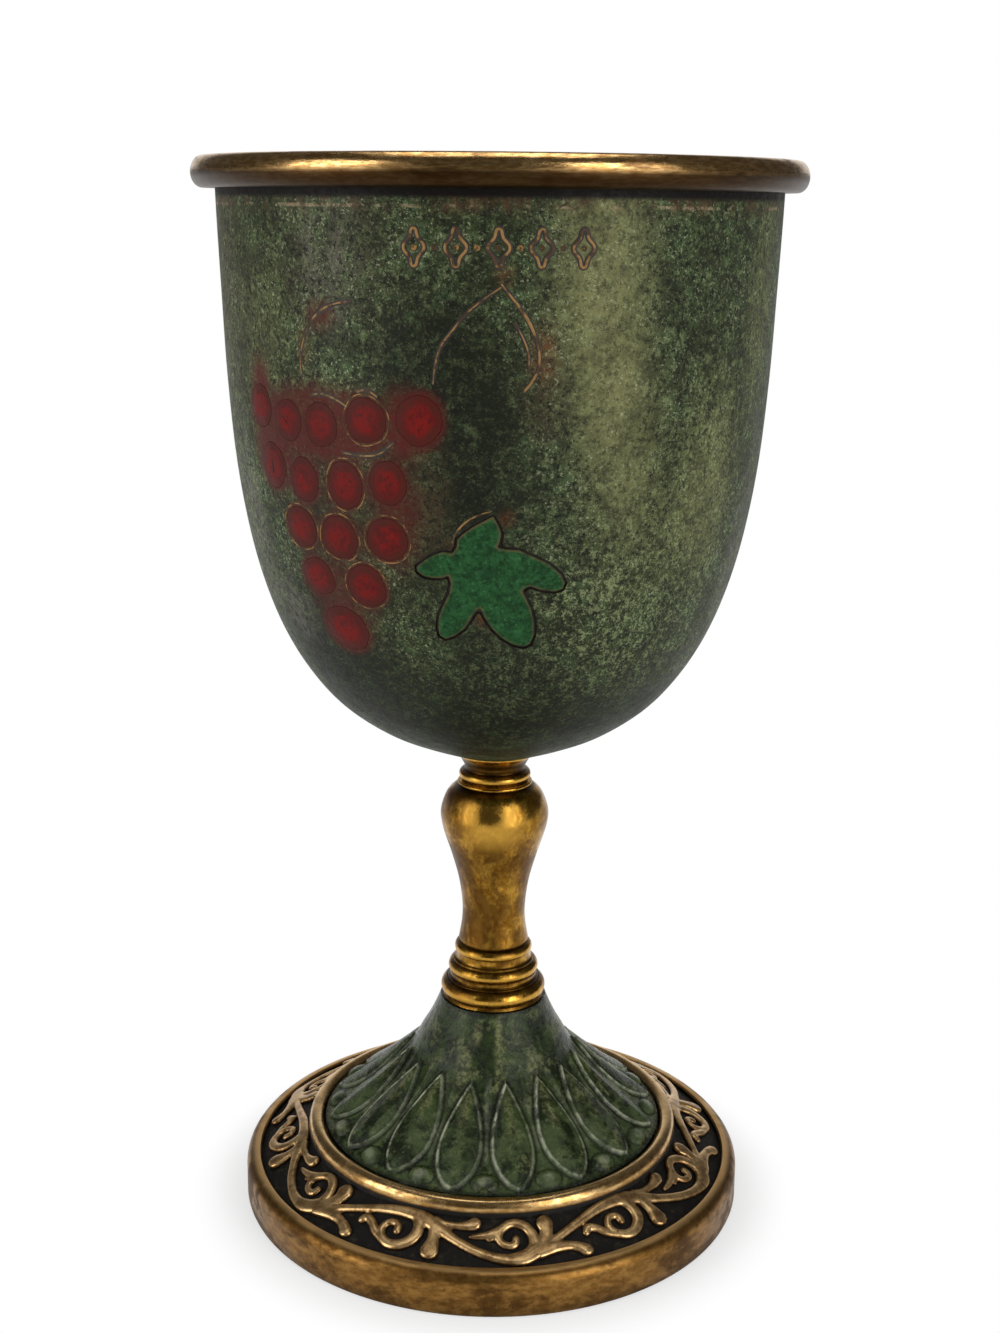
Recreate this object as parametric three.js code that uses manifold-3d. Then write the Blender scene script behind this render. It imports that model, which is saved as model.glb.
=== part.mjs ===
// A footed wine goblet in patinated and gilt brass: a spun bowl with enamel grapes and a vine leaf,
// a turned stem, a cast leaf foot and a round base, drawn together by one tie rod.
// Millimetres, +Z up. The origin is the centre of the base on the table, and -Y is the front.

import * as THREE from "three";
import { mergeVertices } from "three/addons/utils/BufferGeometryUtils.js";
import Module from "manifold-3d";

const wasm = await Module();
wasm.setup();

// Fits
const seatGap = 0.05; // between a turned piece and the bore or spigot that it sits on
const enamelGap = 0.06; // between an enamel and the wall of its cell

// Base plinth, sized from its outside in
const plinthRadius = 39.45;
const plinthHeight = 6.8;
const plinthEdgeRound = 1.9;
const plinthLipEase = 0.4; // how far the lip's inner edge falls away to the channel
const plinthWall = 2.4; // width of the ring that stands on the table
const plinthTopWidth = 2.3; // from the outside to the scroll channel
const channelWidth = 7.65;
const channelRise = 3.8; // how much higher the channel's inner edge is than its outer edge
const channelDepth = 0.9;
const ledgeWidth = 5.5; // of the ledge inside the channel, which carries the leaf foot and its bead ring
const ledgeThickness = 2.2;

// Scroll band: the cast vine in the channel
const vineThickness = 0.75;
const vineGap = 0.1; // under the vine
const vineRepeats = 6;
const vineTurn = -51; // degrees from the front to the start of a repeat
const vineFullness = 1.15; // how much wider than drawn the strokes are cast
const vineEdgeSlope = 0.2; // how much narrower a stem is at its top, on each side
const vineTier = 0.06; // how much shallower each stroke is, above and below, than the one it grows from

// Bead ring round the leaf foot
const footBeadWidth = 2.6;
const footBeadHeight = 1.8;

// Leaf foot
const footTopRadius = 8.25;
const footTopHeight = 32.4;
const footEdgeThickness = 1.3;
const footWall = 1.8;
const leafCount = 16;
const leafRelief = 0.8;
const leafTurn = 9.7; // degrees from the front to the first leaf
const budRelief = 0.7;

// Stem
const collarHeight = 9.5;
const collarRings = [
  { radius: 8.2, rise: 1.6, half: 1.5 },
  { radius: 7.05, rise: 4.95, half: 1.2 },
  { radius: 6.05, rise: 8.1, half: 1.05 },
]; // from the foot up: radius, height of the middle above the foot, and half of the thickness
const collarFootRadius = 7.9;
const collarTopRadius = 5.5;
const balusterHeight = 26.2;
const neckHeight = 4.7;
const neckRingRadius = 5.5;
const neckRingHalf = 0.75;
const neckThroatRadius = 4.65;
const neckThroatDrop = 2.6; // from the flat under the bowl to the narrowest place
const neckFlangeRadius = 5.9;
const neckFlangeThickness = 0.4;
const stemBore = 2.3; // radius of the hole for the tie rod

// Bowl
const bowlRadius = 40.2;
const bowlDepth = 86.45; // from the flat under the bowl to its lip
const bowlWall = 1.4;
const bowlSeatRadius = 6.7;

// Rim bead
const beadHalfWidth = 1.6;
const beadHalfHeight = 2.15;
const beadCap = 0.7; // thickness of the bead's flange over the bowl's lip

// Tie rod, boss, washer and nut
const rodRadius = 2.0;
const rodOverhang = 0.8; // how far the rod stands out under its nut
const bossRadius = 3.4;
const washerRadius = 5.2;
const washerThickness = 1.0;
const nutFlats = 7.0;
const nutHeight = 3.2;
const threadGap = 0.1;

// Enamels
const cellDepth = 0.5;
const cellReach = 5; // how far the cutters of the cells reach to each side of the wall
const enamelProud = 0.35; // height of a dome over the wall
const enamelEdge = 0.15; // how far a dome's edge lies under the wall's face
const grapeRadius = 2.8;
const lowestGrapeRadius = 3.5;

// Facets
const wideSegments = 36;
const slimSegments = 24;
const rodSegments = 16;
const grapeSegments = 10;
const footSegments = leafCount * 6;

// Levels, from the table up
const ledgeLevel = plinthHeight + channelRise;
const collarLevel = footTopHeight;
const balusterLevel = collarLevel + collarHeight;
const neckLevel = balusterLevel + balusterHeight;
const bowlLevel = neckLevel + neckHeight;
const lipLevel = bowlLevel + bowlDepth;

const gilt = new THREE.MeshStandardMaterial({ color: 0x9a6c2c, roughness: 0.35, metalness: 1 });
const patina = new THREE.MeshStandardMaterial({ color: 0x2f4230, roughness: 0.45, metalness: 0.5 });
const steel = new THREE.MeshStandardMaterial({ color: 0x8c8d8f, roughness: 0.4, metalness: 1 });
const redEnamel = new THREE.MeshStandardMaterial({ color: 0x7c1218, roughness: 0.3, metalness: 0 });
const greenEnamel = new THREE.MeshStandardMaterial({ color: 0x1c6b3f, roughness: 0.35, metalness: 0 });

const goblet = new THREE.Group();

function addPiece(name, geometry, material) {
  const mesh = new THREE.Mesh(geometry, material);
  mesh.name = name;
  goblet.add(mesh);
  return mesh;
}

const point = (radius, height) => new THREE.Vector2(radius, height);

// Points along an arc of a profile, angles in degrees from the outward direction.
function arc(centreRadius, centreHeight, radius, from, to, steps) {
  const points = [];
  for (let i = 0; i <= steps; i++) {
    const angle = THREE.MathUtils.degToRad(from + ((to - from) * i) / steps);
    points.push(point(centreRadius + radius * Math.cos(angle), centreHeight + radius * Math.sin(angle)));
  }
  return points;
}

function signedArea(profile) {
  return THREE.ShapeUtils.area(profile);
}

// Revolves a profile of (radius, height) points about Z. A ring's profile is closed here.
function revolve(profile, segments) {
  const onAxis = profile[0].x === 0 && profile[profile.length - 1].x === 0;
  const outline = signedArea(profile) > 0 ? [...profile] : [...profile].reverse();
  if (!onAxis) outline.push(outline[0].clone());
  return new THREE.LatheGeometry(outline, segments).rotateX(Math.PI / 2);
}

function solidOf(geometry) {
  const bare = geometry.clone();
  bare.deleteAttribute("normal");
  bare.deleteAttribute("uv");
  const merged = mergeVertices(bare, 1e-4);
  return new wasm.Manifold(
    new wasm.Mesh({
      numProp: 3,
      vertProperties: merged.attributes.position.array,
      triVerts: new Uint32Array(merged.index.array),
    }),
  );
}

function geometryOf(solid) {
  const mesh = solid.getMesh();
  const geometry = new THREE.BufferGeometry();
  geometry.setAttribute("position", new THREE.BufferAttribute(mesh.vertProperties, 3));
  geometry.setIndex(new THREE.BufferAttribute(mesh.triVerts, 1));
  return geometry;
}

// Base plinth: a turned ring with a rounded outer edge, a sloping channel and a ledge inside.
const channelOuter = plinthRadius - plinthTopWidth;
const channelInner = channelOuter - channelWidth;
const ledgeInner = channelInner - ledgeWidth;
function plinthProfile() {
  const round = Math.min(plinthEdgeRound, plinthTopWidth);
  const edge = arc(plinthRadius - round, plinthHeight - round, round, 0, 90, 3);
  const hollow = plinthRadius - plinthWall;
  const underLedge = ledgeLevel - ledgeThickness;
  return [
    point(hollow, 0),
    point(plinthRadius, 0),
    ...edge,
    point(channelOuter, plinthHeight - plinthLipEase),
    point(channelOuter, plinthHeight - channelDepth),
    point(channelInner, ledgeLevel - channelDepth),
    point(channelInner, ledgeLevel),
    point(ledgeInner, ledgeLevel),
    point(ledgeInner, underLedge),
    point(channelInner, underLedge - channelDepth),
    point(hollow, plinthHeight - channelDepth - ledgeThickness),
  ];
}
addPiece("base_plinth", revolve(plinthProfile(), wideSegments), gilt);

// Scroll band: one cast openwork vine that runs round the channel. Its strokes are drawn in millimetres
// on one repeat laid flat: along the channel, down its slope, and the width of the stroke there. Each
// stroke has the tier of its growth: 0 is the stem, 1 grows from the stem, and 2 and 3 grow from those.
const drawnRepeat = 34.9;
const drawnSlope = 8.5;
// The stem, from one trough over the crest to the next. It goes on into the next repeat, as one closed ring.
const vineStem = [
  [1.4, 5.8, 2.0], [4.0, 4.75, 1.1], [7.3, 3.2, 1.1], [11.3, 1.75, 1.3], [15.6, 1.15, 1.55],
  [19.3, 1.65, 1.9], [22.3, 3.05, 1.5], [26.0, 5.0, 1.2], [29.6, 6.5, 1.2], [33.4, 7.2, 1.4],
];
const vineStrokes = [
  // the crest's spiral, and the hooked leaf that leaves it
  { tier: 1, points: [[17.6, 1.5, 1.4], [18.6, 3.5, 1.5], [18.0, 5.5, 1.5], [16.0, 6.7, 1.3], [13.9, 6.2, 1.2],
   [13.1, 4.6, 1.0], [14.1, 3.3, 0.8], [15.6, 3.6, 0.9], [14.9, 4.7, 0.7]] },
  { tier: 2, points: [[14.0, 6.4, 0.8], [12.0, 5.1, 1.2], [10.2, 3.9, 1.3], [9.2, 4.6, 0.9]] },
  // the crest's two lobes, one down the slope and one along it
  { tier: 2, points: [[20.2, 1.8, 1.5], [21.2, 4.2, 1.5], [21.1, 6.7, 2.2]] },
  { tier: 1, points: [[21.0, 1.6, 1.2], [23.9, 1.85, 0.8], [27.2, 1.5, 1.7]] },
  // the trough's spiral, and its pointed leaf with a barb
  { tier: 1, points: [[35.2, 6.2, 1.4], [36.0, 4.2, 1.4], [35.3, 2.3, 1.3], [33.4, 1.25, 1.2], [31.6, 1.9, 1.2],
   [30.9, 3.5, 1.1], [32.0, 4.9, 0.9], [33.6, 4.5, 0.9], [32.6, 3.5, 0.7]] },
  { tier: 2, points: [[31.5, 2.2, 1.2], [29.6, 3.0, 1.2], [26.6, 3.4, 0.5]] },
  { tier: 3, points: [[30.6, 3.1, 1.0], [29.5, 3.9, 0.5]] },
  // the trough's two lobes, one up the slope and one along it
  { tier: 2, points: [[36.2, 5.9, 1.8], [37.6, 4.4, 1.4], [38.4, 1.8, 2.3]] },
  { tier: 3, points: [[36.6, 6.0, 2.0], [39.6, 5.8, 1.4], [43.2, 6.9, 1.5]] },
];

// The place of a point of the vine: along the channel, down its slope and above its floor.
function vinePlace(along, down, above) {
  const angle = THREE.MathUtils.degToRad(vineTurn + ((along / drawnRepeat) * 360) / vineRepeats);
  const share = down / drawnSlope;
  const slope = Math.atan2(channelRise, channelWidth);
  const radius = channelInner + share * channelWidth + above * Math.sin(slope);
  const level = ledgeLevel - channelDepth - share * channelRise + above * Math.cos(slope);
  return new THREE.Vector3(radius * Math.sin(angle), -radius * Math.cos(angle), level);
}

// A stroke's sections: its points, and the direction that it takes there. A closed stroke meets its own
// start. The free end of any other is rounded by one small section beyond it.
function strokeSections(points, closed) {
  const around = vineRepeats * drawnRepeat;
  const [[firstX, firstY], [lastX, lastY]] = [points[0], points.at(-1)];
  const sections = points.map(([x, y, width], i) => {
    const [x0, y0] = points[i - 1] ?? (closed ? [lastX - around, lastY] : [x, y]);
    const [x1, y1] = points[i + 1] ?? (closed ? [firstX + around, firstY] : [x, y]);
    return { x, y, width, direction: new THREE.Vector2(x1 - x0, y1 - y0).normalize() };
  });
  if (closed) return sections;
  const { x, y, width, direction } = sections.at(-1);
  const reach = width * vineFullness * 0.42;
  return [...sections, { x: x + direction.x * reach, y: y + direction.y * reach, width: width / 2, direction }];
}

// The outline across a stroke, as (side, above) pairs: a stem is flat on top, and a leaf rises to a ridge.
function strokeOutline(tier, width) {
  const bottom = vineGap + tier * vineTier;
  const top = vineGap + vineThickness - tier * vineTier;
  const low = (width * vineFullness) / 2;
  const high = Math.max(low - vineEdgeSlope, low / 2);
  const crest = tier < 2 ? [[high, top], [-high, top]] : [[0, top]];
  return [[-low, bottom], [low, bottom], ...crest];
}

// A solid strip with sloping sides along a stroke.
function strokeGeometry(tier, points, closed) {
  const rings = strokeSections(points, closed).map(({ x, y, width, direction }) =>
    strokeOutline(tier, width).map(([side, above]) =>
      vinePlace(x - direction.y * side, y + direction.x * side, above),
    ),
  );
  const count = rings[0].length;
  const last = (rings.length - 1) * count;
  const faces = [];
  for (let ring = 0; ring < (closed ? rings.length : rings.length - 1); ring++) {
    const here = ring * count;
    const next = ((ring + 1) % rings.length) * count;
    for (let j = 0; j < count; j++) {
      const beside = (j + 1) % count;
      faces.push(here + j, next + j, here + beside, here + beside, next + j, next + beside);
    }
  }
  for (let j = 2; j < count && !closed; j++) {
    faces.push(0, j - 1, j, last, last + j, last + j - 1);
  }
  const geometry = new THREE.BufferGeometry().setFromPoints(rings.flat());
  geometry.setIndex(faces);
  return geometry;
}

function scrollBandGeometry() {
  const repeats = [...Array(vineRepeats).keys()];
  const placed = (points, repeat) => points.map(([x, y, width]) => [x + repeat * drawnRepeat, y, width]);
  const stem = repeats.flatMap((repeat) => placed(vineStem, repeat));
  let vine = solidOf(strokeGeometry(0, stem, true));
  for (const repeat of repeats) {
    for (const { tier, points } of vineStrokes) {
      vine = vine.add(solidOf(strokeGeometry(tier, placed(points, repeat), false)));
    }
  }
  return geometryOf(vine);
}
addPiece("scroll_band", scrollBandGeometry(), gilt);

// Bead ring: a half-round moulding on the ledge, round the edge of the leaf foot.
const footBeadOuter = channelInner - seatGap;
const footBeadInner = footBeadOuter - footBeadWidth;
function footBeadProfile() {
  const points = [point(footBeadInner, ledgeLevel), point(footBeadOuter, ledgeLevel)];
  const middle = (footBeadInner + footBeadOuter) / 2;
  const steps = 6;
  for (let i = 1; i < steps; i++) {
    const angle = (Math.PI * i) / steps;
    points.push(
      point(middle + (footBeadWidth / 2) * Math.cos(angle), ledgeLevel + footBeadHeight * Math.sin(angle)),
    );
  }
  return points;
}
addPiece("foot_bead_ring", revolve(footBeadProfile(), wideSegments), gilt);

// Leaf foot: a flared shell that carries a ring of pointed leaves, with a bud between each two.
const footEdgeRadius = footBeadInner * Math.cos(Math.PI / wideSegments) - seatGap; // clear of the ring's flats
const flareShape = [
  [1, 0],
  [0.913, 0.063],
  [0.786, 0.176],
  [0.655, 0.322],
  [0.546, 0.468],
  [0.472, 0.59],
  [0.43, 0.688],
  [0.385, 0.785],
  [0.348, 0.883],
]; // shares of the edge radius and of the height
function flareCurve(edgeRadius, topRadius, low, high) {
  const points = flareShape.map(([r, h]) => point(edgeRadius * r, low + (high - low) * h));
  points.push(point(topRadius, high));
  return new THREE.SplineCurve(points);
}

// Height of the leaf relief at an angle in degrees and a share of the way up the flare.
function leafHeight(angle, share) {
  const pitch = 360 / leafCount;
  const turned = THREE.MathUtils.euclideanModulo(angle - leafTurn + pitch / 2, pitch) - pitch / 2;
  const across = Math.abs(turned) / (pitch / 2);
  const along = share / 0.62;
  const halfWidth = along < 1 ? 0.88 * Math.sin(Math.PI * Math.pow(1 - along, 0.75) * 0.93 + 0.07) : 0;
  const leaf = halfWidth > 0 ? Math.max(0, 1 - Math.pow(across / Math.max(halfWidth, 0.05), 4)) : 0;
  const budDistance = Math.hypot((1 - across) / 0.3, (share - 0.05) / 0.07);
  const bud = Math.max(0, 1 - budDistance * budDistance);
  return leafRelief * leaf + budRelief * bud;
}

function leafFootGeometry() {
  const edgeTop = ledgeLevel + footEdgeThickness;
  const flare = flareCurve(footEdgeRadius, footTopRadius, edgeTop, footTopHeight).getPoints(9);
  const outside = [point(0, ledgeLevel), point(footEdgeRadius, ledgeLevel), ...flare, point(0, footTopHeight)];
  const body = revolve(outside, footSegments).rotateZ(THREE.MathUtils.degToRad(leafTurn));
  raiseLeaves(body, flare);
  const innerEdge = footEdgeRadius - footWall;
  const low = ledgeLevel - footWall;
  const hollow = flareCurve(innerEdge, footTopRadius - footWall, low, footTopHeight - footWall).getPoints(6);
  const bore = new THREE.CylinderGeometry(stemBore, stemBore, 2 * footTopHeight, rodSegments).rotateX(Math.PI / 2);
  const inside = solidOf(revolve([point(0, low), ...hollow, point(0, footTopHeight - footWall)], slimSegments));
  return geometryOf(solidOf(body).subtract(inside).subtract(solidOf(bore)));
}

// Lifts the vertices of the flare by the leaf relief. A vertex belongs to the flare where it lies on its curve.
function raiseLeaves(geometry, flare) {
  const position = geometry.attributes.position;
  const at = new THREE.Vector3();
  for (let i = 0; i < position.count; i++) {
    at.fromBufferAttribute(position, i);
    const radius = Math.hypot(at.x, at.y);
    const step = flare.findIndex((p) => Math.abs(p.x - radius) < 1e-4 && Math.abs(p.y - at.z) < 1e-4);
    if (step <= 0 || step >= flare.length - 1) continue;
    const angle = THREE.MathUtils.radToDeg(Math.atan2(at.x, -at.y));
    const lift = leafHeight(angle, step / (flare.length - 1));
    const along = flare[step + 1].clone().sub(flare[step - 1]).normalize();
    const newRadius = radius + along.y * lift;
    const newHeight = at.z - along.x * lift;
    position.setXYZ(i, (at.x / radius) * newRadius, (at.y / radius) * newRadius, newHeight);
  }
}
addPiece("leaf_foot", leafFootGeometry(), patina);

// Stem collar: three turned rings that grow towards the foot.
function collarProfile() {
  const points = [point(stemBore, collarLevel), point(collarFootRadius, collarLevel)];
  for (const { radius, rise, half } of collarRings) {
    points.push(...arc(radius - half, collarLevel + rise, half, -62, 62, 3));
  }
  points.push(point(collarTopRadius, balusterLevel), point(stemBore, balusterLevel));
  return points;
}
addPiece("stem_collar", revolve(collarProfile(), slimSegments), gilt);

// Baluster: the turned knop of the stem.
const balusterShape = [
  [5.55, 0],
  [4.96, 0.118],
  [4.94, 0.233],
  [5.51, 0.385],
  [6.6, 0.538],
  [7.59, 0.653],
  [8.14, 0.729],
  [8.3, 0.805],
  [7.79, 0.882],
  [6.92, 0.939],
  [5.7, 1],
]; // radius, and share of the height
function balusterProfile() {
  const curve = new THREE.SplineCurve(
    balusterShape.map(([radius, share]) => point(radius, balusterLevel + balusterHeight * share)),
  );
  return [point(stemBore, balusterLevel), ...curve.getPoints(13), point(stemBore, neckLevel)];
}
addPiece("stem_baluster", revolve(balusterProfile(), slimSegments), gilt);

// Neck: a small ring, a hollow throat, and a flange that spreads to the flat under the bowl.
function neckProfile() {
  const bore = bossRadius + seatGap;
  const throatLevel = bowlLevel - neckThroatDrop;
  const flangeUnder = bowlLevel - neckFlangeThickness;
  const throat = new THREE.SplineCurve([
    point(neckRingRadius - neckRingHalf, (neckLevel + 2.4 * neckRingHalf + throatLevel) / 2),
    point(neckThroatRadius, throatLevel),
    point(neckThroatRadius + (neckFlangeRadius - neckThroatRadius) * 0.35, (throatLevel + flangeUnder) / 2),
    point(neckFlangeRadius, flangeUnder),
  ]);
  return [
    point(bore, neckLevel),
    point(neckRingRadius - neckRingHalf / 3, neckLevel),
    ...arc(neckRingRadius - neckRingHalf, neckLevel + 1.2 * neckRingHalf, neckRingHalf, -50, 60, 3),
    ...throat.getPoints(4),
    point(neckFlangeRadius, bowlLevel),
    point(bore, bowlLevel),
  ];
}
addPiece("stem_neck", revolve(neckProfile(), slimSegments), gilt);

// Bowl: a spun shell. The shape is in shares of the radius and of the depth.
const bowlShape = [
  [0.337, 0.03],
  [0.464, 0.059],
  [0.597, 0.105],
  [0.702, 0.163],
  [0.789, 0.2325],
  [0.856, 0.3135],
  [0.907, 0.406],
  [0.947, 0.522],
  [0.972, 0.66],
  [0.985, 0.799],
  [0.995, 0.915],
  [1, 1],
];
function bowlCurve(offset, steps = 12) {
  const points = bowlShape.map(([r, h]) => point(bowlRadius * r, bowlLevel + bowlDepth * h));
  const curve = new THREE.SplineCurve([point(bowlSeatRadius, bowlLevel), ...points]);
  return curve.getPoints(steps).map((p, i) => {
    const tangent = curve.getTangent(i / steps);
    return point(p.x - tangent.y * offset, p.y + tangent.x * offset);
  });
}
function bowlSolid() {
  const outer = bowlCurve(0);
  const inner = bowlCurve(bowlWall, 8);
  inner[inner.length - 1].y = lipLevel;
  return solidOf(
    revolve([point(0, bowlLevel), ...outer, ...inner.reverse(), point(0, bowlLevel + bowlWall)], wideSegments),
  );
}

// A solid with the bowl's outer shape, moved out by an offset, for cutting cells and enamels.
function bowlForm(offset) {
  const outer = bowlCurve(-offset);
  const top = outer[outer.length - 1];
  return solidOf(revolve([point(0, outer[0].y), ...outer, point(0, top.y)], wideSegments));
}

// A frame on the bowl: where a cell sits, at an angle in degrees from the front and a height.
function bowlFrame(angle, height) {
  const curve = bowlCurve(0);
  let i = curve.findIndex((p) => p.y >= height);
  i = Math.max(i, 1);
  const below = curve[i - 1];
  const above = curve[i];
  const share = (height - below.y) / (above.y - below.y);
  const radius = below.x + (above.x - below.x) * share;
  const lean = Math.atan2(above.x - below.x, above.y - below.y);
  const turn = THREE.MathUtils.degToRad(angle);
  const frame = new THREE.Matrix4().makeRotationZ(turn);
  frame.multiply(new THREE.Matrix4().makeTranslation(0, -radius, height));
  frame.multiply(new THREE.Matrix4().makeRotationX(Math.PI / 2 + lean));
  return frame; // its +Z points out of the bowl
}

// The grapes, in rows from the top: how far below the lip, and the angle of each from the front, in degrees.
const grapeRows = [
  { belowLip: 32.5, angles: [-54.6, -45.5, -36.2, -25.7, -14.7], radius: grapeRadius },
  { belowLip: 40.4, angles: [-51.7, -42.1, -31.2, -21.6], radius: grapeRadius },
  { belowLip: 47.8, angles: [-44.8, -34.1, -22.5], radius: grapeRadius },
  { belowLip: 54.3, angles: [-42.0, -28.8], radius: grapeRadius },
  { belowLip: 61.2, angles: [-36.8], radius: lowestGrapeRadius },
];

// The vine leaf: five lobes round a broad middle, drawn in millimetres across and up from its centre.
const leafAngle = -1.1;
const leafBelowLip = 52.7;
const leafOutline = [
  [0.3, 9.2], [1.3, 7.2], [0.8, 5.6], [1.0, 5.0], [3.6, 4.7], [7.6, 2.7], [9.5, 0.7], [9.8, -0.4], [8.5, -1.1],
  [5.2, -0.3], [4.2, -0.9], [5.5, -4.0], [5.7, -7.2], [4.9, -9.2], [3.0, -9.1], [0.4, -6.9], [-1.1, -4.2],
  [-1.5, -3.4], [-2.0, -4.1], [-3.5, -6.6], [-5.6, -8.3], [-6.6, -7.9], [-6.9, -4.9], [-5.5, -1.5],
  [-5.6, 0.8], [-6.3, 0.6], [-9.0, 0.8], [-9.7, 1.6], [-7.2, 3.7], [-4.9, 4.0], [-4.3, 5.8], [-1.2, 8.3],
];
function leafPrism(inset, frame) {
  const corners = leafOutline.map(([x, y]) => new THREE.Vector2(x, y));
  const inward = signedArea(corners) > 0 ? 1 : -1;
  const moved = corners.map((corner, i) => {
    const before = corner.clone().sub(corners.at(i - 1)).normalize();
    const after = corners[(i + 1) % corners.length].clone().sub(corner).normalize();
    const bisector = before.clone().add(after).normalize();
    const reach = (inward * inset) / Math.max(0.5, bisector.dot(before));
    return new THREE.Vector2(corner.x - bisector.y * reach, corner.y + bisector.x * reach);
  });
  const options = { depth: 2 * cellReach, bevelEnabled: false };
  const prism = new THREE.ExtrudeGeometry(new THREE.Shape(moved), options).translate(0, 0, -cellReach);
  return solidOf(prism.applyMatrix4(frame));
}

// A grape: a plug that fills its cell under a low dome. The floor of the cell cuts off its foot.
function grapeProfile(radius) {
  const foot = -2 * cellDepth;
  return [
    point(0, foot),
    point(radius, foot),
    point(radius, -enamelEdge),
    point(radius * 0.72, enamelProud * 0.7),
    point(0, enamelProud),
  ];
}

function buildBowlAndEnamels() {
  const cellFloor = bowlForm(-cellDepth);
  const enamelFloor = bowlForm(-cellDepth + enamelGap);
  let bowl = bowlSolid();
  let number = 0;
  for (const { belowLip, angles, radius } of grapeRows) {
    for (const angle of angles) {
      number += 1;
      const frame = bowlFrame(angle, lipLevel - belowLip);
      const drill = new THREE.CylinderGeometry(radius, radius, 2 * cellReach, grapeSegments);
      drill.rotateX(Math.PI / 2).applyMatrix4(frame);
      bowl = bowl.subtract(solidOf(drill).subtract(cellFloor));
      const dome = revolve(grapeProfile(radius - enamelGap), grapeSegments).applyMatrix4(frame);
      const enamel = solidOf(dome).subtract(enamelFloor);
      addPiece("grape_enamel_" + String(number).padStart(2, "0"), geometryOf(enamel), redEnamel);
    }
  }

  const frame = bowlFrame(leafAngle, lipLevel - leafBelowLip);
  const leafBody = leafPrism(enamelGap, frame);
  bowl = bowl.subtract(leafPrism(0, frame).subtract(cellFloor));
  addPiece("leaf_enamel", geometryOf(leafBody.intersect(bowlForm(enamelProud)).subtract(enamelFloor)), greenEnamel);
  addPiece("bowl", geometryOf(bowl), patina);
}
buildBowlAndEnamels();

// Rim bead: an oval ring outside the lip, with a flange over it.
function rimBeadProfile() {
  const inner = bowlRadius + seatGap;
  const top = lipLevel + seatGap + beadCap;
  const round = arc(0, 0, 1, -120, 90, 5);
  return [
    point(inner, top - beadHalfHeight * 1.7),
    ...round.map((p) => point(inner + beadHalfWidth * (1 + p.x), top - beadHalfHeight * (1 - p.y))),
    point(bowlRadius - bowlWall + 0.3, top),
    point(bowlRadius - bowlWall, top - 0.3),
    point(bowlRadius - bowlWall, lipLevel + seatGap),
    point(inner, lipLevel + seatGap),
  ];
}
addPiece("rim_bead", revolve(rimBeadProfile(), wideSegments), gilt);

// Boss under the bowl, tie rod, washer and nut.
function tube(outerRadius, innerRadius, low, high, segments) {
  return revolve(
    [point(innerRadius, low), point(outerRadius, low), point(outerRadius, high), point(innerRadius, high)],
    segments,
  );
}
const rodBore = rodRadius + threadGap;
const webUnder = footTopHeight - footWall;
const washerLevel = webUnder - washerThickness;
const nutLevel = washerLevel - nutHeight;
addPiece("bowl_boss", tube(bossRadius, rodBore, neckLevel + seatGap, bowlLevel, rodSegments), gilt);
const rodTop = bowlLevel - 0.3;
const rodBottom = nutLevel - rodOverhang;
const rod = new THREE.CylinderGeometry(rodRadius, rodRadius, rodTop - rodBottom, rodSegments).rotateX(Math.PI / 2);
addPiece("tie_rod", rod.translate(0, 0, (rodTop + rodBottom) / 2), steel);
addPiece("rod_washer", tube(washerRadius, rodBore, washerLevel, webUnder, rodSegments), steel);
const nutBlank = new THREE.CylinderGeometry(nutFlats / Math.sqrt(3), nutFlats / Math.sqrt(3), nutHeight, 6);
nutBlank.rotateX(Math.PI / 2).translate(0, 0, (nutLevel + washerLevel) / 2);
const nutBore = new THREE.CylinderGeometry(rodBore, rodBore, 2 * nutHeight, rodSegments);
nutBore.rotateX(Math.PI / 2).translate(0, 0, (nutLevel + washerLevel) / 2);
addPiece("rod_nut", geometryOf(solidOf(nutBlank).subtract(solidOf(nutBore))), steel);

export default goblet;
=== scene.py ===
import bisect
import random
from math import atan2, cos, degrees, dist, exp, hypot, pi, radians, sin, sqrt, tanh

import bpy
from mathutils import Euler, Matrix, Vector, noise


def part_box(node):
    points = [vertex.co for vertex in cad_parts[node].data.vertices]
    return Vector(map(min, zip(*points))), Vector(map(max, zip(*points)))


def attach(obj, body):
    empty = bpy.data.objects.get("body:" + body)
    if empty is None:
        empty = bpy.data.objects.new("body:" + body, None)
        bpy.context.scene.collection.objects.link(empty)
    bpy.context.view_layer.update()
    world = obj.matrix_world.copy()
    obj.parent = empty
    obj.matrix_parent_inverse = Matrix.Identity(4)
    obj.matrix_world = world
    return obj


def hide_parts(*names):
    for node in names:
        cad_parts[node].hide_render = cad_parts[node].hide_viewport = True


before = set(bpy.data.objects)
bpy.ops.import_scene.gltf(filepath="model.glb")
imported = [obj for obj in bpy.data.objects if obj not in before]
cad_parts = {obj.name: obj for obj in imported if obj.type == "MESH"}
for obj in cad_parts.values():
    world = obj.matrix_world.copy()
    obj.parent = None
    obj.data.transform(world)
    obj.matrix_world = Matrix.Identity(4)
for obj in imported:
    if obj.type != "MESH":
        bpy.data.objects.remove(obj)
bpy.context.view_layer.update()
bpy.ops.object.select_all(action="DESELECT")

# A footed wine goblet in gilt and patinated brass. Sizes are in millimetres and become metres when a
# piece is made. The origin is the centre of the base on the table, and -Y is the front.
MM = 0.001


def box_mm(node):
    low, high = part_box(node)
    return low / MM, high / MM


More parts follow.
